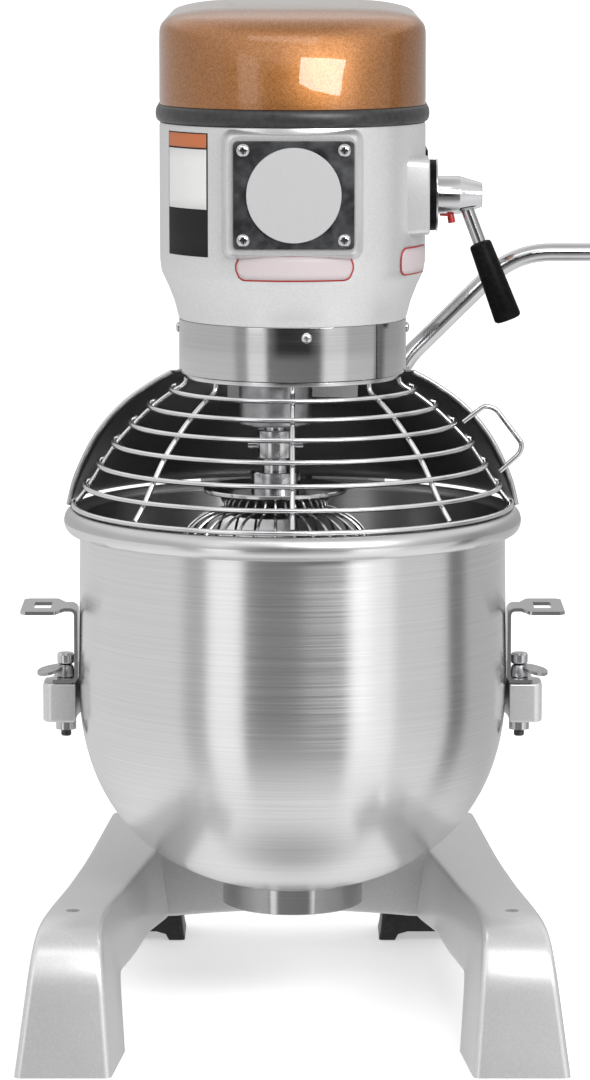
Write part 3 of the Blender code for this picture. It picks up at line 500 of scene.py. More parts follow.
def base():
    obj = make("base", skin(leg_rings(1)), PAINT)
    merge(obj, skin(leg_rings(-1)))
    rings = []
    for i in range(41):        # web between the legs: arched below, filleted into them in front
        x = WEB_HALF * (i / 20 - 1)
        fillet = max(0.0, abs(x) - WEB_FLAT) / (WEB_HALF - WEB_FLAT)
        front = WEB_FRONT - 4 * fillet ** 3
        under = WEB_UNDER - 4.8 * min(1.0, abs(x) / 96) ** 2
        ring = [(front, BASE_TOP - 0.1), (REAR - 0.4, BASE_TOP - 0.1), (REAR - 0.4, under), (front, under)]
        rings.append([(x, p.x, p.y) for p in rounded(ring, 4.0, 3)])
    merge(obj, skin(rings))
    for side in (-1, 1):
        spot = (side * LEG_BOLT[0], LEG_BOLT[1])
        carve(obj, prism(circle(5.2, 24, spot), 101.5, 125))
        screw = turned([(0, 98), (4.9, 98), (4.9, 103.4), (2.6, 103.6), (2.4, 101.6), (0, 101.6)], 24, spot)
        fit(make("leg_bolt_" + ("right" if side > 0 else "left"), screw, STEEL), "frame", "steel")
    fit(obj, "frame", "cast_paint", "base_casting")


def rear_feet():
    """Rubber feet, flared at the floor, with a low arch between their two pads."""
    for name, side, reach in (("left", -1, 90.0), ("right", 1, 72.0)):
        rings = []
        for part in (0.0, 0.3, 0.6, 0.85, 1.0):
            z = (LEG_UNDER - GAP) * (1 - part)
            flare = 3.0 * part ** 3
            corners = [(reach + 3 - flare, 240 - 14 * part ** 2), (149 + flare, 240 - 14 * part ** 2),
                       (149 + flare, REAR - 4), (reach + 3 - flare, REAR - 4)]
            rings.append([(side * p.x, p.y, z) for p in rounded(corners, 4.0)])
        foot = make("rear_foot_pad_" + name, skin(rings), RUBBER)
        arch = [(reach + 12, -2), (140, -2), (136, 4.4), (128, 6.4), (reach + 24, 6.4), (reach + 16, 4.4)]
        carve(foot, prism([(side * x, z) for x, z in arch], 200, 300, "Y"))
        fit(foot, "frame", "black_rubber", "rear_foot_" + name)


# ---- head --------------------------------------------------------------------------------------
def head():
    heights = [HEAD_LOW, 545, 550, 556, 562, 568, 574, 579, 583, 588, 594, 600, 690.7]
    heights += [HEAD_TOP - 0.6, HEAD_TOP]
    insets = [0.4] + [0] * 12 + [0.5, 1.4]
    outer = [[(x, y, z) for x, y in head_outline(head_radius(z) - d, REAR - 3 - d - (HEAD_R - head_radius(z)),
                                                 42.0)] for z, d in zip(heights, insets)]
    inner = [[(x, y, z) for x, y in head_outline(head_radius(z) - 6, REAR - 9 - (HEAD_R - head_radius(z)), 36.0)]
             for z in (HEAD_TOP, 600, 583, 562, HEAD_LOW + 6)]
    turns = [math.atan2(y, x) for x, y, _ in inner[-1]]
    hole = [[(SHAFT_HOLE * math.cos(t), SHAFT_HOLE * math.sin(t), z) for t in turns]
            for z in (HEAD_LOW + 6, HEAD_LOW)]
    obj = make("head_casting", skin(outer + inner + hole, loop=True), PAINT)
    pad = rounded([(-49, 598), (49, 598), (49, 689), (-49, 689)], 9.0, 6)
    centre = Vector((0, 643.5))
    rings = []
    for y, grow in ((-104, -1.6), (-103, -0.3), (-101.5, 0.6), (-97, 2.6), (-90, 5.0), (-78, 6.0)):
        rings.append([(p.x, y, p.y) for p in (q + (q - centre).normalized() * grow for q in pad)])
    for ring in rings:
        for i, (x, y, z) in enumerate(ring):
            ring[i] = (x, y, min(z, HEAD_TOP - 1.0))
    merge(obj, skin(rings))
    side = rounded([(-52, 610), (10, 610), (10, 667), (-52, 667)], 6.0)
    centre = Vector((-21, 638.5))
    merge(obj, skin([[(x, *(p + (p - centre).normalized() * grow)) for p in side]
                     for x, grow in ((104, -1.2), (103, 0), (96, 1.0), (82, 2.0))]))
    carve(obj, prism(circle(8.6, 32, (SHIFT_Y, SHIFT_Z)), 70, 112, "X"))
    carve(obj, block(-60, 60, 200.3, 270, HEAD_LOW - 5, HEAD_LOW + 14))
    fit(obj, "frame", "cast_paint", "head_housing")

    ring = []
    for i in range(13):         # half round bead of the seal
        angle = -math.pi / 2 + math.pi * i / 12
        middle, half = (HEAD_TOP + GAP + SEAL_TOP) / 2, (SEAL_TOP - HEAD_TOP - GAP) / 2
        ring.append((HEAD_R - 0.6 + 3.5 * math.cos(angle) ** 0.8 if abs(math.cos(angle)) > 1e-6 else
                     HEAD_R - 0.6, middle + half * math.sin(angle)))
    rings = [[(x, y, z) for x, y in head_outline(r, REAR - 4 + (r - HEAD_R), 44.0)] for r, z in ring]
    rings += [[(x, y, z) for x, y in head_outline(HEAD_R - 10, REAR - 14, 34.0)]
              for z in (SEAL_TOP, HEAD_TOP + GAP)]
    fit(make("seal", skin(rings, loop=True), RUBBER), "frame", "black_rubber", "cover_seal")

    levels = through([(SEAL_TOP + GAP, 0.4, 0), (712, 0, 0.5), (722, 0, 1.5), (742, 0, 5), (758, 0, 10.5),
                      (765, 0.6, 14), (769.5, 3, 17), (773.5, 8, 20), (776.5, 18, 22), (778.8, 32, 22),
                      (HEIGHT, 49, 20)], 4)
    rings = []
    for z, inset, lean in levels:      # the front leans back more and more towards the top
        flat = 1 - lean / (HEAD_R - inset)
        plan = head_outline(HEAD_R - inset, REAR - 4 - inset, max(6.0, 55 - inset))
        rings.append([(x, y * flat if y < 0 else y, z) for x, y in plan])
    cover = make("cover", skin(rings), COPPER, sharp=60)
    fit(cover, "frame", "copper_paint", "top_cover")


def collar():
    profile = rounded([(COLLAR_R - 2.6, COLLAR_LOW), (COLLAR_R, COLLAR_LOW), (COLLAR_R, HEAD_LOW - GAP),
                       (COLLAR_R - 2.6, HEAD_LOW - GAP)], 0.5, 3)
    obj = make("collar", turned(profile, 128), COLLAR_STEEL)
    seam = Matrix.Rotation(math.radians(47), 4, "Z")
    groove = block(-0.8, 0.8, -COLLAR_R - 2, -COLLAR_R + 0.9, COLLAR_LOW - 2, HEAD_LOW + 2)
    bmesh.ops.transform(groove, matrix=seam, verts=groove.verts)
    carve(obj, groove)
    fit(obj, "frame", "stainless", "collar_ring")
    for index, azimuth in enumerate((7.0, 92.0, -92.0)):
        angle = math.radians(azimuth)
        out = Vector((math.sin(angle), -math.cos(angle), 0.0))
        cross_screw("collar_pan_screw_%d" % (index + 1), out * (COLLAR_R + GAP) + Vector((0, 0, 535)),
                    out, 4.0, 2.3, WIRE, "stainless", "collar_screw_%d" % (index + 1))


def cross_screw(name, foot, out, radius, height, surface, slot, node):
    """Domed screw head with a cross recess, standing on foot and pointing out."""
    profile = [(0, 0), (radius, 0), (radius, height * 0.3), (radius * 0.86, height * 0.66),
               (radius * 0.55, height * 0.92), (radius * 0.2, height), (0, height)]
    turn = Matrix.Translation(foot) @ out.to_track_quat("Z", "Y").to_matrix().to_4x4()
    bm = turned(profile, 32)
    bmesh.ops.transform(bm, matrix=turn, verts=bm.verts)
    obj = make(name, bm, surface)
    reach, width = radius * 0.55, radius * 0.13
    for x, y in ((reach, width), (width, reach)):
        tool = block(-x, x, -y, y, height * 0.45, height * 2)
        bmesh.ops.transform(tool, matrix=turn, verts=tool.verts)
        carve(obj, tool)
    fit(obj, "frame", slot, node)


def front_plate():
    face, middle, centre_x = -104.0, 643.8, 1.0
    plate = rounded([(-44.3, middle - 40.4), (46.3, middle - 40.4), (46.3, middle + 40.4),
                     (-44.3, middle + 40.4)], 4.0, 5)
    obj = make("name_plate", prism(plate, face - 3, face - GAP, "Y"), PLATE, 0.7, 3)
    fit(obj, "frame", "dark_plate", "front_plate")
    disc = prism(circle(35.6, 96, (centre_x, middle)), face - 5.4, face - 3 - GAP, "Y")
    fit(make("blank_disc", disc, DISC, 0.7, 3), "frame", "grey_disc", "front_disc")
    for row in (0, 1):
        for side in (0, 1):
            foot = Vector((centre_x + (side - 0.5) * 75.4, face - 3 - GAP, middle + (row - 0.5) * 67.0))
            cross_screw("plate_pan_screw_%d" % (2 * row + side + 1), foot, Vector((0, -1, 0)), 5.0, 2.7,
                        CHROME, "chrome", "plate_screw_%d" % (2 * row + side + 1))


def sticker(name, surface, low, high, start, end, lift, radius=0.0, columns=40, rows=4):
    """Thin patch on the round front of the head; radius rounds its two ends."""
    bm = bmesh.new()
    grid = []
    for i in range(columns + 1):
        part = i / columns
        angle = math.radians(start + (end - start) * part)
        along = math.radians(abs(end - start)) * HEAD_R
        near = min(part, 1 - part) * along
        drop = radius - math.sqrt(max(0.0, radius ** 2 - (radius - near) ** 2)) if near < radius else 0.0
        column = []
        for k in range(rows + 1):
            z = low + drop + (high - low - 2 * drop) * k / rows
            r = head_radius(z) + lift
            column.append(bm.verts.new((r * math.sin(angle), -r * math.cos(angle), z)))
        grid.append(column)
    for a, b in zip(grid, grid[1:]):
        for k in range(rows):
            bm.faces.new((a[k], b[k], b[k + 1], a[k + 1]))
    obj = make(name, bm, surface)
    solid = obj.modifiers.new("film", "SOLIDIFY")
    solid.thickness = 0.00012
    solid.offset = 1.0
    return fit(obj, "frame", "cast_paint")


def stickers():
    """Plain coloured fields where the machine carries labels, with no words or signs."""
    sticker("sticker_left_edge", INK, 595.4, 688.6, -66.4, -38.6, 0.12)
    sticker("sticker_left_band", ORANGE, 677.4, 687.8, -65.8, -39.2, 0.32)
    sticker("sticker_left_field", PALE, 631.2, 676.2, -65.8, -39.2, 0.32)
    for name, low, high, start, end in (("front", 578.7, 599.0, -24.9, 26.8), ("side", 579.5, 601.0, 53, 82)):
        sticker("sticker_%s_edge" % name, RED, low, high, start, end, 0.5, 8.0)
        sticker("sticker_%s_field" % name, PINK, low + 1.2, high - 1.2, start + 0.8, end - 0.8, 0.75, 7.0)


# ---- gear lever --------------------------------------------------------------------------------
def shift_lever():
    centre = (SHIFT_Y, SHIFT_Z)
    dial = turned(rounded([(8.6, 104.3), (27, 104.3), (27, 108.6), (25.4, 110), (8.6, 110)], 0.6, 3), 96,
                  centre, "X")
    fit(make("gear_dial", dial, PLASTIC), "frame", "dark_plate", "speed_dial")
    rim = rounded([(25.2, 109.2), (27.4, 109.2), (27.4, 110.6), (25.2, 110.6)], 0.4, 3)
    fit(make("dial_rim", turned(rim, 96, centre, "X"), CHROME), "frame", "chrome")
    for index, turn in enumerate((-40, 0, 40)):
        angle = math.radians(turn - 90)
        spot = (SHIFT_Y + 21 * math.cos(angle), SHIFT_Z + 21 * math.sin(angle))
        mark = turned([(0, 110.02), (1.7, 110.02), (1.5, 110.5), (0, 110.5)], 20, spot, "X")
        fit(make("dial_mark_%d" % (index + 1), mark, PALE), "frame", "dark_plate")
    profile = [(0, 88.3), (8, 88.3), (8, 110.3), (13.9, 110.3), (14.5, 110.9), (14.5, 127.4), (14.1, 128.3),
               (9.4, 144.2), (8.7, 144.7), (0, 144.7)]
    hub = make("lever_hub", turned(profile, 64, centre, "X"), CHROME)
    crank = [(SHIFT_Y - 6, SHIFT_Z - 5), (SHIFT_Y + 20.6, SHIFT_Z - 5), (SHIFT_Y + 20.6, SHIFT_Z + 5),
             (SHIFT_Y - 6, SHIFT_Z + 5)]
    merge(hub, prism(rounded(crank, 3), 88.4, 90.8, "X"))
    merge(hub, prism(circle(3, 20, (SHIFT_Y + 15.6, SHIFT_Z)), 80.5, 90, "X"))
    fit(hub, "shift_lever", "chrome", "shift_hub")
    path = bent([(112.6, SHIFT_Y, 624.3), (120.6, SHIFT_Y, 624.1), (121.8, SHIFT_Y, 617.2)], 2.0)
    pointer = tube(path, 1.9, 16, 2.8)
    fit(make("lever_pointer", pointer, RED, 0.5, 2), "shift_lever", "red_button")
    rod = tube([(132.6, SHIFT_Y, 629.6), (142.9, SHIFT_Y, 602.5)], 5.0, 32)
    fit(make("lever_rod", rod, CHROME, 0.4), "shift_lever", "chrome", "shift_rod")
    start, end = Vector((143.1, SHIFT_Y, 602.0)), Vector((165.4, SHIFT_Y, 543.0))
    grip = [(0.0, 6.4), (0.012, 7.9), (0.035, 8.6), (0.5, 9.6), (0.955, 10.5), (0.985, 10.1), (1.0, 8.8)]
    fit(make("lever_grip", swept(start, end, grip), PLASTIC), "shift_lever", "black_plastic", "shift_grip")


def swept(start, end, profile, sides=40):
    """Straight handle from start to end; profile holds (part of the length, radius)."""
    line = end - start
    turn = line.to_track_quat("Z", "Y")
    return skin([[start + line * part + turn @ Vector((u, v, 0)) for u, v in circle(r, sides)]
                 for part, r in profile])


# ---- bowl and yoke -----------------------------------------------------------------------------
def bowl():
    outer = bowl_bottom(BOWL_R, BOWL_DEEP, 28)
    inner = bowl_bottom(BOWL_R - BOWL_WALL, BOWL_DEEP - BOWL_WALL, 28)
    rim = [(170.0 + 7.0 * math.cos(a), 386.4 + 9.1 * math.sin(a))
           for a in (math.radians(-140 + 280 * i / 20) for i in range(21))]
    profile = [(164.6, 378.5)] + rim + [(164.6 - BOWL_WALL, 389), *inner, *reversed(outer)]
    obj = make("mixing_bowl", turned(profile, 160), BOWL_STEEL, sharp=50)
    obj.data.materials.append(INSIDE_PAINTED_SHADE)
    obj.data.materials.append(EDGE)
    for face in obj.data.polygons:      # the inside gets darker steel, painted shade inside the bowl, and the rolled rim is satin
        spot = (face.center - AXIS) * 1000
        outward = face.normal.dot(spot.xy.to_3d())
        if spot.z >= RIM_START:
            face.material_index = 2
        elif spot.xy.length < BOWL_R + 0.3 and (outward < 0 or (outward == 0 and face.normal.z > 0)):
            face.material_index = 1
    fit(obj, "yoke", "stainless", "bowl")
    top = [BOWL_BELLY - BOWL_DEEP * (1 - (r / BOWL_R) ** BOWL_POWER) ** (1 / BOWL_POWER) - 0.5
           for r in (54.5, 50.5)]
    ring = [(50.5, top[1]), (50.5, 84.6), (51.1, 84), (53.9, 84), (54.5, 84.6), (54.5, top[0])]
    fit(make("bowl_foot", turned(ring, 96), COLLAR_STEEL), "yoke", "stainless", "bowl_foot_ring")


def ribbon(path, thickness, half_width):
    """Sheet metal strap that follows a line in the XZ plane."""
    rings = []
    for i, point in enumerate(path):
        ahead = path[min(i + 1, len(path) - 1)] - path[max(i - 1, 0)]
        across = Vector((-ahead.y, ahead.x)).normalized() * thickness / 2
        a, b = point + across, point - across
        rings.append([(a.x, -half_width, a.y), (a.x, half_width, a.y), (b.x, half_width, b.y),
                      (b.x, -half_width, b.y)])
    return skin(rings)


def bracket(name, side):
    near = BOWL_R + GAP + 0.1 + 1.35
    path = bent([Vector((side * 186.0, 260.75)), Vector((side * near, 260.75)), Vector((side * near, 317)),
                 Vector((side * 184.0, 317))], 5.0)
    obj = make(name + "_strap", ribbon(path, 2.7, 16.5), COLLAR_STEEL)
    plate = [(177, -16.5), (183, -33), (186, -34), (206, -34), (210, -30), (210, 30), (206, 34), (186, 34),
             (183, 33), (177, 16.5)]
    merge(obj, prism([(side * x, y) for x, y in plate], 315.65, 318.35))
    slot = rounded([(187.2, -14.8), (200.8, -14.8), (200.8, 14.8), (187.2, 14.8)], 1.2, 3)
    carve(obj, prism([(side * p.x, p.y) for p in slot], 310, 325))
    carve(obj, prism(circle(5.2, 24, (side * CLAMP_X, 0.0)), 250, 270))
    soften(obj, 0.5)
    fit(obj, "yoke", "stainless", name)


def yoke():
    inner_r, outer_r, meet = 168.4, 187.0, math.acos(60.0 / 187.0)
    outline = [(inner_r, -15), (187, -15), (190.6, -14), (193, -11.4), (194, -8), (194, 14)]
    outline += [(outer_r * math.cos(a), outer_r * math.sin(a))
                for a in (0.12 + (meet - 0.12) * i / 30 for i in range(31))]
    outline.append((60, 199.7))
    outline += [(-x, y) for x, y in reversed(outline)]
    outline += [(-inner_r * math.cos(a), inner_r * math.sin(a))
                for a in (math.pi * i / 80 for i in range(1, 80))]
    obj = make("yoke_casting", prism(outline, YOKE_LOW, YOKE_TOP), PAINT)
    merge(obj, block(-50, 50, 180, 199.7, YOKE_LOW - 14, YOKE_TOP + 40))
    for side in (-1, 1):
        carve(obj, prism(circle(5.2, 24, (side * CLAMP_X, 0.0)), 220, 265))
    soften(obj, 2.0, 3)
    fit(obj, "yoke", "cast_paint", "bowl_yoke")
    for name, side in (("left", -1), ("right", 1)):
        bracket("bowl_bracket_" + name, side)
        centre = (side * CLAMP_X, 0.0)
        bolt = [(0, 221), (8, 221), (8, 226.8), (7.2, YOKE_LOW - GAP), (4.7, YOKE_LOW - GAP), (4.7, 271.6),
                (5.4, 272.6), (6.4, 273.2), (6.6, 274), (6.6, 279.6), (5.6, 281), (0, 281)]
        fit(make("clamp_bolt_body_" + name, turned(bolt, 40, centre), CHROME), "yoke", "steel",
            "clamp_bolt_" + name)
        thread = turned([(0, 215.5), (3.2, 215.5), (4, 216.4), (4, 220.9), (0, 220.9)], 24, centre)
        fit(make("clamp_thread_" + name, thread, THREAD), "yoke", "steel")
        clamp("clamp_wing_" + name, side, name)


def clamp(name, side, label):
    """Hub round the bolt and a rounded wing that slopes down towards its tip."""
    low = YOKE_TOP + 3.7
    hub = turned([(5.1, low), (6.9, low), (6.9, low + 4), (5.8, low + 8.3), (5.1, low + 8.3)], 40,
                 (side * CLAMP_X, 0.0))
    obj = make(name, hub, STEEL)
    wing = [(3.0, -7), (8, -12), (14, -13), (19.5, -8.5), (22.2, 0), (20, 7), (14, 9.5), (8, 8.6), (3.0, 6.5)]
    plan = through(wing, 5)
    rings = [[(side * (CLAMP_X + p.x), p.y, low + lift + 5.4 * (1 - p.x / 22.4) + 0.10 * (p.y + 13))
              for p in plan] for lift in (0.0, 2.4)]
    merge(obj, skin(rings))
    carve(obj, prism(circle(5.1, 24, (side * CLAMP_X, 0.0)), 255, 280))
    soften(obj, 0.5)
    fit(obj, "clamp_" + label, "steel", "clamp_lever_" + label)


# ---- lift lever --------------------------------------------------------------------------------
def lift_lever():
    end = low_of("lift_lever_grip").x
    path = bent([(90, LIFT_Y, LIFT_Z + 12), (98, LIFT_Y, 490), (182, LIFT_Y, 573), (end - GAP, LIFT_Y, 573)],
                34.0, 10)
    obj = make("lift_rod", tube(path, 7.4, 32), CHROME)
    merge(obj, prism(circle(15, 48, (LIFT_Y, LIFT_Z)), 79.9, 96.0, "X"))
    soften(obj, 0.6)
    fit(obj, "lift", "chrome", "lift_lever_rod")
    tip = high_of("lift_lever_grip").x
    grip = [(0.0, 8.6), (0.02, 10.4), (0.05, 11.0), (0.9, 12.3), (0.96, 12.0), (0.99, 10.4), (1.0, 8.4)]
    fit(make("lift_grip", swept(Vector((end, LIFT_Y, 573)), Vector((tip, LIFT_Y, 573)), grip), PLASTIC),
        "lift", "black_plastic", "lift_lever_grip")


# ---- guard -------------------------------------------------------------------------------------
def rear_shell():
    edge = through([(95, 501.1), (112, 491.5), (131.3, 477.5), (146.2, 462), (157.1, 446.3), (165, 430.7),
                    (171.3, 415), (175.6, 397)], 3)
    count = len(edge)
    flare = [6.0 * math.sin(math.pi * min(1.0, 0.25 + 0.8 * i / count)) ** 0.5 for i in range(count)]
    half, wall = math.radians(87.5), 1.2
    turns = [(-half, 1.0), (-half + 0.025, 1.0), (-half + 0.04, 0.5), (-half + 0.055, 0.1)]
    turns += [(-half + 0.075 + (2 * half - 0.15) * i / 60, 0.0) for i in range(61)]
    turns += [(half - 0.055, 0.1), (half - 0.04, 0.5), (half - 0.025, 1.0), (half, 1.0)]
    rings = []
    for turn, lip in turns:
        angle = math.pi / 2 + turn
        outer = [(p.x - f * (1 - lip), p.y) for p, f in zip(edge, flare)]
        profile = [(85.2, 501.1)] + outer + [(r - wall, z - 0.6 * (k > 0)) for k, (r, z) in
                                             enumerate(reversed(outer))] + [(85.2, 499.9)]
        rings.append([(r * math.cos(angle), r * math.sin(angle), z) for r, z in profile])
    # darker steel all over the shell: painted shade
    obj = make("rear_shell", skin(rings), SHELL_STEEL_PAINTED_SHADE)
    carve(obj, block(-52, 52, 90, 200, 466, 520))
    for name, side in (("left", -1), ("right", 1)):     # rolled edge that faces the front
        angle = math.pi / 2 - side * half
        line = [((p.x - 1.6) * math.cos(angle), (p.x - 1.6) * math.sin(angle) - 1.4, p.y - 0.8) for p in edge]
        fit(make("rear_shell_edge_" + name, tube(line, 1.9, 14), EDGE), "frame", "stainless")
    fit(obj, "frame", "stainless", "rear_guard_shell")


def guard():
    ring = rounded([(80, 497.4), (84, 497.4), (84, 501.0), (80, 501.0)], 0.8, 3)
    cage = turned(ring, 96)
    parts = [cage]
    for radius, height in GUARD_ARCS:
        path = []
        for i in range(57):
            angle = math.radians(GUARD_FROM + (GUARD_TO - GUARD_FROM) * i / 56)
            path.append(Vector((radius * math.cos(angle), radius * math.sin(angle), height)))
        for end, sign in ((0, -1), (-1, 1)):      # the ends curl inwards
            angle = math.radians(GUARD_FROM if end == 0 else GUARD_TO)
            hook = []
            for inset, turn, up in ((1.6, 0.010, 0.8), (3.6, 0.012, 1.8), (5.0, 0.008, 2.4)):
                r, at = radius - inset, angle + sign * turn
                hook.append(Vector((r * math.cos(at), r * math.sin(at), height + up)))
            path = list(reversed(hook)) + path if end == 0 else path + hook
        parts.append(tube(path, 2.0, 12))
    line = [(82.0, 499.2), (82.6, 493.0), (86.5, 489.0)]
    line += [(r - 3.2, z - 1.8) for r, z in GUARD_ARCS[:-1]]
    line.append((GUARD_ARCS[-1][0] - 2.6, GUARD_ARCS[-1][1] + 1.6))
    smooth = through(line, 4)
    for azimuth in (-90, -45, 0, 45, 90):
        angle = math.radians(azimuth)
        parts.append(tube([(p.x * math.sin(angle), -p.x * math.cos(angle), p.y) for p in smooth], 2.0, 12))
    fit(joined("guard_wires", parts, WIRE), "guard", "stainless", "guard_cage")
    loop = bent([(131.8, 0, 461.5), (149, 0, 474.5), (157, 0, 472.0), (177.8, 0, 444.5), (175.8, 0, 437.0),
                 (160.2, 0, 423)], 6.0)
    fit(make("guard_loop", tube(loop, 2.0, 20), WIRE, 0.3), "guard", "stainless", "guard_handle")


def joined(name, parts, surface):
    """One object from several closed shells that touch, such as welded wires."""
    whole = bmesh.new()
    for part in parts:
        bmesh.ops.recalc_face_normals(part, faces=part.faces)
        mesh = bpy.data.meshes.new("part")
        part.to_mesh(mesh)
        part.free()
        whole.from_mesh(mesh)
        bpy.data.meshes.remove(mesh)
    return make(name, whole, surface)


# ---- planetary drive and whisk -----------------------------------------------------------------
def drive():
    disc = [(0, 503), (82.8, 503), (83.6, 503.8), (83.6, 508.6), (82.8, 509.4), (20, 509.4), (20, 512),
            (0, 512)]
    obj = make("carrier", turned(disc, 96), STEEL)
    boss = turned([(0, 466.8), (26.6, 466), (27.6, 467.2), (27.6, 504), (0, 504)], 64, ORBIT)
    merge(obj, boss)
    carve(obj, prism(circle(8.5, 40, ORBIT), 460, 520))
    fit(obj, "planetary", "steel", "planet_carrier")
    shaft = turned([(0, 436.4), (7.4, 436.4), (8, 437), (8, 532), (0, 532)], 40, ORBIT)
    fit(make("agitator_bar", shaft, CHROME), "agitator", "steel", "agitator_shaft")


def whisk():
    profile = [(0, 397), (36, 397), (36.8, 397.6), (43.4, 412.2), (44, 414), (54.4, 414), (55, 414.8),
               (55, 416.8), (54.4, 417.5), (19.6, 420), (19, 420.6), (19, 429.4), (18.4, 430), (10, 430),
               (10, 440), (13.4, 440), (14, 440.8), (14, 461.2), (13.4, 462), (8.4, 462), (8.4, 436), (0, 436)]
    hub = make("whisk_hub", turned(profile, 72, ORBIT), CHROME)
    pin = tube([(ORBIT[0] - 21, ORBIT[1], 450), (ORBIT[0] + 21, ORBIT[1], 450)], 3.2, 20)
    merge(hub, pin)
    fit(hub, "agitator", "stainless", "whisk_head")
    parts = []
    loops, steps, widest, middle = 14, 14, 92.0, 245.0
    upper = through([(widest, middle), (89, 300), (82, 345), (73, 374), (65, 388), (54, 396.5), (43, 400),
                     (33, 400.5)], 4)
    for loop in range(loops):       # crossing loops end at slightly different depths
        deepest = 121.0 + 3.4 * (loop % 2) + 0.25 * loop
        turns = [math.pi / 2 * i / steps for i in range(steps + 1)]
        lower = [(widest * math.sin(t), middle - (middle - deepest) * math.cos(t)) for t in turns]
        half = [Vector(p) for p in lower[:-1]] + upper
        turn = math.pi * loop / loops
        line = [Vector((-p.x, p.y)) for p in reversed(half[1:])] + half
        path = [(ORBIT[0] + p.x * math.cos(turn), ORBIT[1] + p.x * math.sin(turn), p.y) for p in line]
        parts.append(tube(path, 1.1, 8))
    fit(joined("whisk_loops", parts, WIRE), "agitator", "stainless", "whisk_wires")


# ---- parts that keep their own shape -----------------------------------------------------------
def carried_over():
    """Soft edges and a finish on each part that keeps the frame's mesh."""
    finishes = (
        (PAINT, 1.5, "column rear_panel"),
        (PLASTIC, 1.0, "switch_box cable_gland"),
        (GREEN, 0.8, "start_button"), (RED, 0.8, "stop_button"),
        (MOTOR, 1.5, "motor_body"), (RUBBER, 0.5, "drive_belt"),
        (STEEL, 0.4, "ring_gear main_bearing gearbox_lid main_shaft planet_pinion shift_fork gear_cluster "
                     "input_shaft input_pulley motor_pulley lift_rack lift_shaft lift_sector"),
    )
    for surface, width, names in finishes:
        for name in names.split():
            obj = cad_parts[name]
            obj.data.materials.clear()
            obj.data.materials.append(surface)
            soften(obj, width)


# ---- floor, light and camera -------------------------------------------------------------------
def stage():
    floor = bpy.data.meshes.new("floor")
    reach = 90.0
    floor.from_pydata([(-reach, -reach, 0), (reach, -reach, 0), (reach, reach, 0), (-reach, reach, 0)], [],
                      [(0, 1, 2, 3)])
    white = grained("floor_white", (0.90, 0.90, 0.90), 0.6)
    shader = white.node_tree.nodes["Principled BSDF"]
    shader.inputs["Emission Color"].default_value = (1.0, 1.0, 1.0, 1.0)
    shader.inputs["Emission Strength"].default_value = 0.42
    floor.materials.append(white)
    obj = bpy.data.objects.new("floor", floor)
    bpy.context.scene.collection.objects.link(obj)
    obj.location.z = -0.0005
    obj.visible_glossy = False      # metal mirrors the room's panels and not the floor


def room_ramp(tree, value, stops):
    """Brightness of the room against azimuth, from (degrees, level) stops."""
    ramp = tree.nodes.new("ShaderNodeValToRGB")
    tree.links.new(value, ramp.inputs["Fac"])
    bar = ramp.color_ramp
    for index, (azimuth, level) in enumerate(stops):
        at = (azimuth + 180) / 360
        stop = bar.elements[index] if index < 2 else bar.elements.new(at)
        stop.position = at
        stop.color = (level, level, level, 1.0)
    return ramp.outputs["Color"]


def mixed(tree, value, start, end, before, after):
    """Colour that changes from before to after while value runs from start to end."""
    blend = tree.nodes.new("ShaderNodeMapRange")
    blend.inputs["From Min"].default_value = start
    blend.inputs["From Max"].default_value = end
    tree.links.new(value, blend.inputs["Value"])
    mix = tree.nodes.new("ShaderNodeMix")
    mix.data_type = "RGBA"
    tree.links.new(blend.outputs["Result"], mix.inputs["Factor"])
    tree.links.new(before, mix.inputs["A"])
    tree.links.new(after, mix.inputs["B"])
    return mix.outputs["Result"]


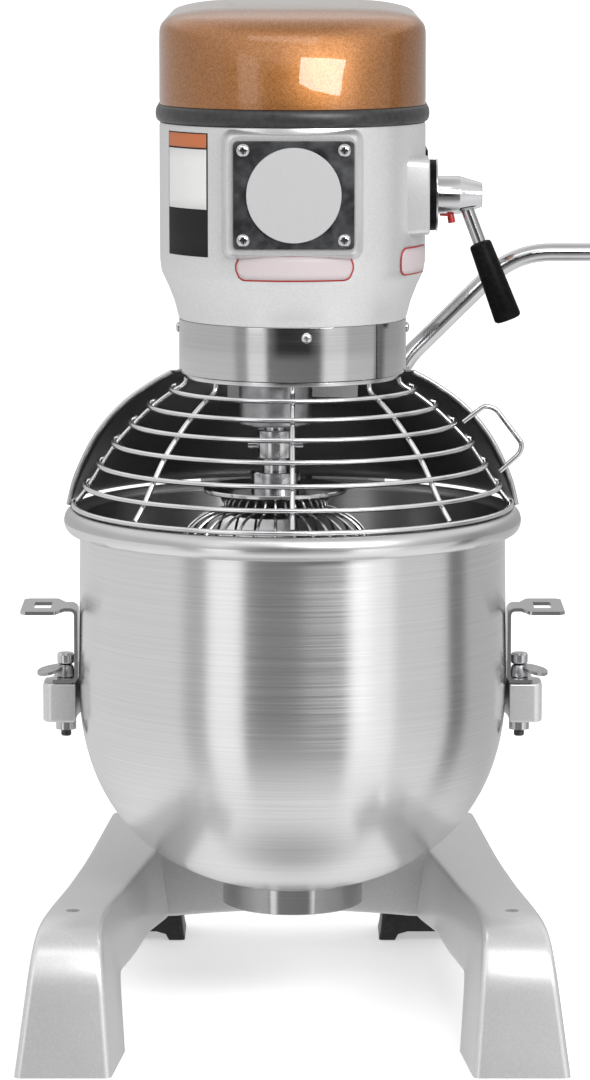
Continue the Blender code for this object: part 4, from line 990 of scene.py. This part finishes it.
def studio():
    """Soft light from a pale room, with bright and dark bands to the front and sides."""
    world = bpy.data.worlds.new("studio")
    bpy.context.scene.world = world
    world.use_nodes = True
    tree = world.node_tree
    place = tree.nodes.new("ShaderNodeTexCoord")
    split = tree.nodes.new("ShaderNodeSeparateXYZ")
    tree.links.new(place.outputs["Generated"], split.inputs["Vector"])
    flip = tree.nodes.new("ShaderNodeMath")
    flip.operation = "MULTIPLY"
    flip.inputs[1].default_value = -1.0
    tree.links.new(split.outputs["Y"], flip.inputs[0])
    angle = tree.nodes.new("ShaderNodeMath")
    angle.operation = "ARCTAN2"
    tree.links.new(split.outputs["X"], angle.inputs[0])
    tree.links.new(flip.outputs[0], angle.inputs[1])
    turn = tree.nodes.new("ShaderNodeMapRange")
    turn.inputs["From Min"].default_value = -math.pi
    turn.inputs["From Max"].default_value = math.pi
    tree.links.new(angle.outputs[0], turn.inputs["Value"])
    low = room_ramp(tree, turn.outputs["Result"], (
        (-180, 0.50), (-150, 0.66), (-122, 0.72), (-64, 0.72), (-57, 0.44), (-49, 0.44), (-44, 1.0), (-29, 1.0),
        (-24, 0.26), (27, 0.22), (34, 1.0), (53, 1.0), (59, 0.72), (90, 0.68), (95, 0.18), (103, 0.18),
        (110, 0.48), (180, 0.50)))
    high = room_ramp(tree, turn.outputs["Result"], (
        (-180, 0.45), (-150, 0.58), (-122, 0.62), (-64, 0.62), (-57, 0.40), (-49, 0.40), (-44, 0.9), (-29, 0.9),
        (-24, 0.22), (-14, 0.04), (16, 0.03), (27, 0.16), (34, 0.85), (53, 0.85), (59, 0.55), (90, 0.55),
        (95, 0.18), (103, 0.18), (110, 0.42), (180, 0.45)))
    colour = mixed(tree, split.outputs["Z"], -0.13, -0.105, low, high)
    for start, end, level in ((0.30, 0.52, 0.92), (0.80, 0.97, 0.60), (-0.35, -0.75, 0.88), (-0.90, -1.0, 0.35)):
        grey = tree.nodes.new("ShaderNodeRGB")
        grey.outputs[0].default_value = (level, level, level, 1.0)
        colour = mixed(tree, split.outputs["Z"], start, end, colour, grey.outputs[0])
    background = tree.nodes["Background"]
    tree.links.new(colour, background.inputs["Color"])
    background.inputs["Strength"].default_value = 1.2


def panel(name, azimuth, distance, height, width, tall, power, roll=0.0):
    """A soft box that faces the machine, turned by roll degrees about its own axis."""
    light = bpy.data.lights.new(name, "AREA")
    light.shape = "RECTANGLE"
    light.size, light.size_y = width, tall
    light.energy = power
    obj = bpy.data.objects.new(name, light)
    bpy.context.scene.collection.objects.link(obj)
    angle = math.radians(azimuth)
    obj.location = AXIS + Vector((math.sin(angle) * distance, -math.cos(angle) * distance, height))
    aim = AXIS + Vector((0, 0, 0.45)) - obj.location
    turn = Quaternion((0, 0, 1), math.radians(roll))
    obj.rotation_euler = (aim.to_track_quat("-Z", "Y") @ turn).to_euler()


def camera():
    data = bpy.data.cameras.new("view")
    data.lens = 156.7
    data.sensor_width = 36.0
    obj = bpy.data.objects.new("view", data)
    bpy.context.scene.collection.objects.link(obj)
    pitch = math.radians(8.1)
    distance = 3.6472
    target = AXIS + Vector((0, 0, 0.36937))
    obj.location = target - Vector((0, math.cos(pitch), -math.sin(pitch))) * distance
    obj.location.x += 0.0019
    obj.rotation_euler = (math.pi / 2 - pitch, 0, 0)
    bpy.context.scene.camera = obj


def main():
    camera()
    base()
    rear_feet()
    head()
    collar()
    front_plate()
    stickers()
    shift_lever()
    bowl()
    yoke()
    lift_lever()
    rear_shell()
    guard()
    drive()
    whisk()
    carried_over()
    stage()
    studio()
    panel("window", 25, 2.0, 1.40, 1.35, 0.62, 29, -14)
    panel("overhead", -8, 1.5, 2.35, 1.9, 0.45, 4)
    panel("fill", -38, 3.0, 1.5, 0.9, 1.4, 3)
    bpy.context.scene.view_settings.view_transform = "Standard"


main()
